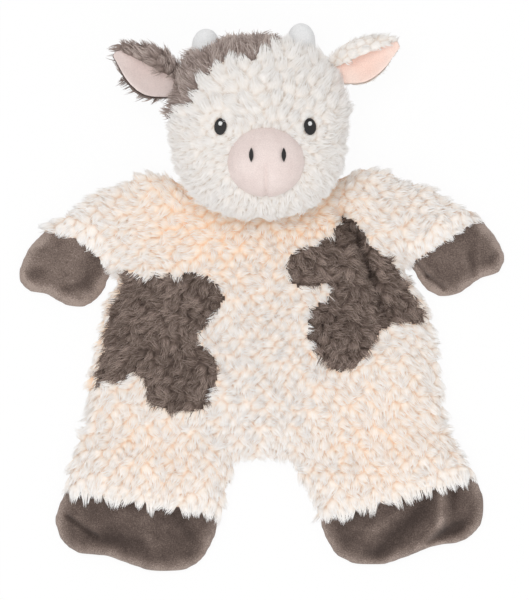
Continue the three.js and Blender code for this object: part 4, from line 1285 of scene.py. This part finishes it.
def head_curls(points, normals, cover):
    """Long curls on the brow, short ones on the cheeks, and which of them are brown."""
    rng = np.random.default_rng(SEED + 1)
    clear = (cover > 0) | (normals[:, 2] < 0)
    brow = smoothstep(*BROW_EDGE, points[:, 1] - EYES[0].y)
    chosen = []
    for place, spacing in ((brow > 0.5, BROW_CURL_CLEAR), (brow <= 0.5, CHEEK_CURL_CLEAR)):
        candidates = np.flatnonzero(clear & place)
        taken = [Vector(points[k]) for k in chosen]
        found = spread_points([Vector(points[k]) for k in candidates], spacing, rng, taken)
        chosen.extend(candidates[found])
    spots, ups, brow = points[chosen], normals[chosen], brow[chosen]
    count = len(chosen)
    flow = unit(spots - (np.array(MUZZLE) + (0, FLOW_ABOVE_MUZZLE, 0)))
    flow += rng.normal(0, HEAD_STRAY, (count, 3))
    lean = rng.uniform(*HEAD_LEAN, count)
    height = (CHEEK_PILE + (BROW_PILE - CHEEK_PILE) * brow) * rng.uniform(*HEAD_VARY, count)
    height = np.where(ups[:, 2] < HEAD_BACK_SIDE, BACK_HEIGHT, height)
    height *= 1 - PRESSED_HEAD_PILE * pressed(spots)
    for eye in EYES:
        away = np.hypot(spots[:, 0] - eye.x, spots[:, 1] - eye.y)
        height *= EYE_PILE + (1 - EYE_PILE) * smoothstep(*EYE_CLEAR, away)
    edge_x, edge_y = np.array(PATCH_EDGE).T * MM
    brown = (spots[:, 1] > np.interp(spots[:, 0], edge_x, edge_y)) & (spots[:, 0] < edge_x[-1])
    brown &= spots[:, 2] > HEAD_SEAM_HEIGHT - PATCH_BELOW_SEAM
    tones = np.where(brown, rng.uniform(0, PATCH_DYE, count), rng.uniform(0, FACE_DYE, count))
    return Curls("head_curls", spots, leaning(ups, flow, lean, height), tones), brown


def build_head():
    skin = head_skin()
    points, normals = surface(skin)
    cover = head_cover(points, normals)
    put_attribute(skin.data, "cover", cover)
    curls, brown = head_curls(points, normals, cover)
    middles = face_middles(skin.data)
    patch = brown[curls.nearest(middles)]
    curls.raise_knobs(skin, HEAD_KNOB)
    front = middles[:, 2] >= HEAD_SEAM_HEIGHT
    for name, keep, slot, values, nodes in (
        ("head_front_fur", front & ~patch, "white_fur", HEAD_FUR, ("head_front", "head_stuffing")),
        ("head_patch_fur", patch, "light_brown_fur", PATCH_FUR, ("head_patch",)),
        ("head_back_fur", ~front & ~patch, "white_fur", HEAD_BACK_FUR, ("head_back",)),
    ):
        dress(panel(skin, name, keep), curls, slot, values, HEAD_FILL, "head", *nodes)
    bpy.data.objects.remove(skin)


def build_neck():
    """The gathered neck of the body, with short fur."""
    skin = gathered("neck_fur", ["neck"], NECK_VOXEL)
    relaxed(skin, rounds=2)
    rng = np.random.default_rng(SEED + 3)
    points, normals = surface(skin)
    put_attribute(skin.data, "cover", np.ones(len(points)))
    chosen = spread_points([Vector(p) for p in points], CURL_CLEAR, rng)
    count = len(chosen)
    flow = rng.normal(0, 1, (count, 3))
    aims = leaning(normals[chosen], flow, rng.uniform(*NECK_LEAN, count), np.full(count, NECK_PILE))
    curls = Curls("neck_curls", points[chosen] - normals[chosen] * MM, aims, np.full(count, NECK_TONE))
    curls.raise_knobs(skin, SMALL_KNOB)
    dress(skin, curls, "cream_fur", BACK_FUR, HEAD_FILL, "neck", "neck")


# Face: muzzle and horns of short pile, eyes and nostrils of satin stitches
SMALL_VOXEL = 1.1 * MM
SMALL_SWELL = 0.8 * MM
SEAM_WIDTH = 0.9 * MM
SEAM_DEPTH = 1.8 * MM
SEAM_FADE = 4 * MM
HORN_DROP = 0.4 * MM
HORN_STRETCH = 1.4
HORN_WIDEN = 1.1
NOSTRIL_WIDTH = 0.8
THREAD_SPACING = 0.45 * MM
THREAD_RADIUS = 0.26 * MM
THREAD_SIDES = 6
THREAD_POINTS = 28
FEWEST_THREADS = 3
STITCH_LIFT = 0.15 * MM
HIGHLIGHT_LIFT = 0.3 * MM
STITCH_FILL = 0.9
SATIN_INPUTS = {"Rows": "Geometry", "Thread radius": "Float", "Thread": "Material"}


def short_pile_piece(name, slot, *nodes):
    """A stuffed piece on the head."""
    piece = gathered(name, nodes, SMALL_VOXEL)
    swell(piece, SMALL_SWELL)
    relaxed(piece, rounds=6)
    cover_with(piece, slot)
    finish_padded(piece, "head", slot, HEAD_FILL, *nodes)
    return piece


def groove(muzzle):
    """The centre seam on the lower half of the muzzle."""
    points, normals = surface(muzzle)
    across = np.exp(-(((points[:, 0] - MUZZLE.x) / SEAM_WIDTH) ** 2))
    below = smoothstep(0, SEAM_FADE, MUZZLE.y - points[:, 1])
    set_coordinates(muzzle.data, points - normals * (across * below * SEAM_DEPTH)[:, None])


def lower_horn(horn):
    """Sets a horn a little lower, with its root run on into the head."""
    points = coordinates(horn.data)
    top = points[:, 1].max()
    points[:, 1] = top - HORN_DROP - (top - points[:, 1]) * HORN_STRETCH
    middle = points.mean(0)
    points[:, 0] = middle[0] + (points[:, 0] - middle[0]) * HORN_WIDEN
    set_coordinates(horn.data, points)


def satin_tree():
    """Turns rows of edges into laid threads."""
    s, given = new_tree("satin_stitch", SATIN_INPUTS)
    rows = s.add("GeometryNodeMeshToCurve", {"Mesh": given["Rows"]})
    profile = s.add("GeometryNodeCurvePrimitiveCircle", {"Resolution": THREAD_SIDES, "Radius": 1.0})
    threads = s.add("GeometryNodeCurveToMesh", {
        "Curve": rows, "Profile Curve": profile, "Scale": given["Thread radius"], "Fill Caps": True})
    return s.end(threads, given["Thread"])


SATIN_TREE = satin_tree()


def thread_rows(node, lift):
    """Points and edges of rows that lie side by side over the face of a CAD piece."""
    low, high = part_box(node)
    tree = surface_of([node])
    count = max(FEWEST_THREADS, round((high.y - low.y) / THREAD_SPACING))
    points, edges = [], []
    for row in range(count):
        y = low.y + (row + 0.5) * (high.y - low.y) / count
        last = None
        for x in np.linspace(low.x, high.x, THREAD_POINTS):
            hit, _ = plumb(tree, x, y)
            if hit:
                points.append((hit.x, hit.y, hit.z + lift))
                if last is not None:
                    edges.append((last, len(points) - 1))
                last = len(points) - 1
    return points, edges


def satin(node, slot, lift, width=1.0, drop=0.0):
    """Embroiders a CAD piece, and may draw it narrower or lower."""
    rows = bpy.data.meshes.new(node + "_rows")
    rows.from_pydata(*thread_rows(node, lift), [])
    piece = new_object(node + "_stitches", rows)
    run_tree(piece, SATIN_TREE, {"Thread radius": THREAD_RADIUS, "Thread": FINISHES[slot]})
    low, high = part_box(node)
    bm = bmesh.new()
    for mesh in (piece.data, frame["nodes"][node].data):
        bm.from_mesh(mesh)
    for face in bm.faces:
        face.material_index = 0
    for vert in bm.verts:
        vert.co.x += (vert.co.x - (low.x + high.x) / 2) * (width - 1)
        vert.co.y -= drop
    piece.data = mesh_of(piece.name, bm)
    piece.data.materials.append(FINISHES[slot])
    finish_padded(piece, "head", slot, STITCH_FILL, node)


def build_face():
    groove(short_pile_piece("muzzle_plush", "pink_plush", "muzzle_cover", "muzzle_stuffing"))
    for side in SIDES:
        horn = f"horn_{side}"
        lower_horn(short_pile_piece(f"{horn}_plush", "horn_plush", horn, f"{horn}_stuffing"))
        satin(f"eye_{side}", "black_thread", STITCH_LIFT, drop=EYE_DROP)
        satin(f"nostril_{side}", "black_thread", STITCH_LIFT, width=NOSTRIL_WIDTH)
        satin(f"eye_highlight_{side}", "white_thread", HIGHLIGHT_LIFT, drop=EYE_DROP)


# Ears: a lining of short pile in a fur panel
EARS = {
    # slots, length of the pile, its share at the lower rim, narrowing above and below, and the warmest dye
    "left": {
        "fur": "light_brown_fur", "lining": "pink_plush", "pile": 5.3 * MM, "rim": 1.0,
        "upper": 0.7, "lower": 1.0, "dye": 0.9,
    },
    "right": {
        # the right lining takes the lit copy of the pink pile: painted light
        "fur": "white_fur", "lining": "peach_plush", "pile": 3.2 * MM, "rim": 0.4,
        "upper": 0.66, "lower": 0.9, "dye": 0.4,
    },
}
EAR_VOXEL = 1.0 * MM
EAR_FILL = 0.3
EAR_OUTER = 0.35
EAR_GROUND = 0.8 * MM
EAR_EDGE = 1.6 * MM
EAR_EDGE_COVER = 0.3
EAR_CURL_CLEAR = 5.0 * MM
EAR_VARY = (0.8, 1.2)
EAR_LEAN = (0.8, 1.15)
EAR_STRAY = 0.3
EAR_LOWER_RIM = (-8 * MM, -2 * MM)
EAR_ROOT = (2 * MM, 12 * MM)
EAR_ROOT_PILE = 0.3


def rim_of(mesh):
    """The points on the open edge of a sheet."""
    counts = {}
    for face in mesh.polygons:
        for key in face.edge_keys:
            counts[key] = counts.get(key, 0) + 1
    return sorted({k for key, count in counts.items() if count == 1 for k in key})


def ear_fur_skin(side):
    """The outer side of an ear's fur panel, drawn close to the lining."""
    skin = gathered(f"ear_{side}_whole", [f"ear_{side}_back"], EAR_VOXEL)
    relaxed(skin, rounds=3)
    tree = surface_of([f"ear_{side}_lining"])
    facing = []
    for face in skin.data.polygons:
        nearest = tree.find_nearest(face.center)[0]
        facing.append((nearest - face.center).normalized().dot(face.normal))
    sheet = panel(skin, f"ear_{side}_fur", np.array(facing) < EAR_OUTER)
    bpy.data.objects.remove(skin)
    points = coordinates(sheet.data)
    for k, point in enumerate(points):
        nearest, _, _, gap = tree.find_nearest(Vector(point))
        points[k] = nearest + (Vector(point) - nearest).normalized() * min(gap, EAR_GROUND)
    set_coordinates(sheet.data, points)
    relaxed(sheet, rounds=2)
    points = coordinates(sheet.data)
    rim = rim_of(sheet.data)
    for k in rim:
        points[k] = tree.find_nearest(Vector(points[k]))[0]
    set_coordinates(sheet.data, points)
    inner = smoothstep(0, EAR_EDGE, gaps_to(tree_of_points(points[rim]), points))
    put_attribute(sheet.data, "cover", EAR_EDGE_COVER + (1 - EAR_EDGE_COVER) * inner)
    return sheet


def ear_across(side):
    """The root of an ear, and the way up across it."""
    joint = next(j for j in frame["joints"] if j["name"] == f"ear_{side}")
    across = np.array(joint["axis"])
    return np.array(joint["pos_m"]), across * np.sign(across[1])


def settle_ear(piece, side):
    """Draws an ear narrower, above and below the line along its middle."""
    root, across = ear_across(side)
    points = coordinates(piece.data)
    height = (points - root) @ across
    narrow = np.where(height > 0, EARS[side]["upper"], EARS[side]["lower"])
    set_coordinates(piece.data, points + across * (height * (narrow - 1))[:, None])


def ear_curls(skin, side):
    """Curls that flow from the root of an ear to its tip, shorter at the root and at the lower rim."""
    rng = np.random.default_rng(SEED + 2)
    ear = EARS[side]
    root, across = ear_across(side)
    points, normals = surface(skin)
    chosen = spread_points([Vector(p) for p in points], EAR_CURL_CLEAR, rng)
    spots = points[chosen]
    count = len(chosen)
    flow = unit(spots - root) + rng.normal(0, EAR_STRAY, (count, 3))
    above = smoothstep(*EAR_LOWER_RIM, (spots - root) @ across)
    pile = ear["pile"] * rng.uniform(*EAR_VARY, count) * (ear["rim"] + (1 - ear["rim"]) * above)
    out = smoothstep(*EAR_ROOT, np.linalg.norm(spots - root, axis=1))
    pile *= EAR_ROOT_PILE + (1 - EAR_ROOT_PILE) * out
    aims = leaning(normals[chosen], flow, rng.uniform(*EAR_LEAN, count), pile)
    return Curls(f"ear_{side}_curls", spots, aims, rng.uniform(0, ear["dye"], count))


def build_ears():
    for side, ear in EARS.items():
        name = f"ear_{side}"
        lining = gathered(f"{name}_lining_plush", [f"{name}_lining"])
        relaxed(refined(lining), rounds=3)
        settle_ear(lining, side)
        cover_with(lining, ear["lining"])
        finish_padded(lining, name, ear["lining"], EAR_FILL, f"{name}_lining")
        skin = ear_fur_skin(side)
        settle_ear(skin, side)
        curls = ear_curls(skin, side)
        curls.raise_knobs(skin, SMALL_KNOB)
        dress(skin, curls, ear["fur"], EAR_FUR, EAR_FILL, name, f"{name}_back")


# Stage: a white floor, a camera that looks straight down, and soft lamps
PHOTO_HEIGHT = 600
PHOTO_MM_PER_PIXEL = 0.6
PHOTO_MIDDLE = (0.3 * MM, 12 * MM)
CAMERA_HEIGHT = 8.0
FOCUS_HEIGHT = 14 * MM
SENSOR = 36
FLOOR_SIZE = 6
FLOOR_GREY = 0.9
FLOOR_GLOW = 0.93
FUR_BOUNCES = 10
WORLD_LIGHT = 0.7
LAMPS = (
    # name, place and size in metres, and power in watts
    ("key", (-0.3, 0.35, 2.0), 1.2, 15), ("fill", (0.3, -1.5, 1.1), 1.6, 7),
)


def camera():
    """Looks straight down, as the photograph does."""
    data = bpy.data.cameras.new("camera")
    made = new_object("camera", data)
    made.location = (*PHOTO_MIDDLE, CAMERA_HEIGHT)
    data.sensor_width = SENSOR
    seen = PHOTO_HEIGHT * PHOTO_MM_PER_PIXEL * MM
    data.lens = SENSOR * (CAMERA_HEIGHT - FOCUS_HEIGHT) / seen
    bpy.context.scene.camera = made


def seen_rays(s):
    """1 for rays that show the background: to the camera, in a gloss or through glass."""
    path = s.add("ShaderNodeLightPath")
    seen = s.math("MAXIMUM", path.outputs["Is Camera Ray"], path.outputs["Is Glossy Ray"])
    return s.math("MAXIMUM", seen, path.outputs["Is Transmission Ray"])


def floor_material(name):
    """White that hardly takes a shadow."""
    s, shader = new_material(name)
    s.put(shader, {"Base Color": (FLOOR_GREY, FLOOR_GREY, FLOOR_GREY, 1), "Roughness": 0.9})
    glow = s.add("ShaderNodeEmission", {"Color": (1, 1, 1, 1), "Strength": 1.0})
    share = s.math("MULTIPLY", seen_rays(s), FLOOR_GLOW)
    mix = s.add("ShaderNodeMixShader", {0: share, 1: shader, 2: glow})
    s.put(s.tree.nodes["Material Output"], {"Surface": mix})


def lamp(name, place, size, energy):
    data = bpy.data.lights.new(name, "AREA")
    data.shape = "DISK"
    data.size = size
    data.energy = energy
    made = new_object(name, data)
    made.location = place
    made.rotation_euler = Vector(place).to_track_quat("Z", "Y").to_euler()


def studio_world():
    """Even light all round, that looks white to the camera."""
    world = bpy.data.worlds.new("studio")
    world.use_nodes = True
    s = Steps(world.node_tree)
    strength = s.math("ADD", s.math("MULTIPLY", seen_rays(s), 1 - WORLD_LIGHT), WORLD_LIGHT)
    s.put(world.node_tree.nodes["Background"], {"Color": (1, 1, 1, 1), "Strength": strength})
    return world


def stage():
    floor_material("floor_white")
    bm = bmesh.new()
    bmesh.ops.create_grid(bm, x_segments=1, y_segments=1, size=FLOOR_SIZE / 2)
    floor = new_object("floor", mesh_of("floor", bm))
    floor.data.materials.append(FINISHES["floor_white"])
    for settings in LAMPS:
        lamp(*settings)
    scene = bpy.context.scene
    scene.world = studio_world()
    scene.cycles.diffuse_bounces = FUR_BOUNCES
    scene.view_settings.view_transform = "Standard"


build_body()
build_head()
build_neck()
build_face()
build_ears()
camera()
stage()
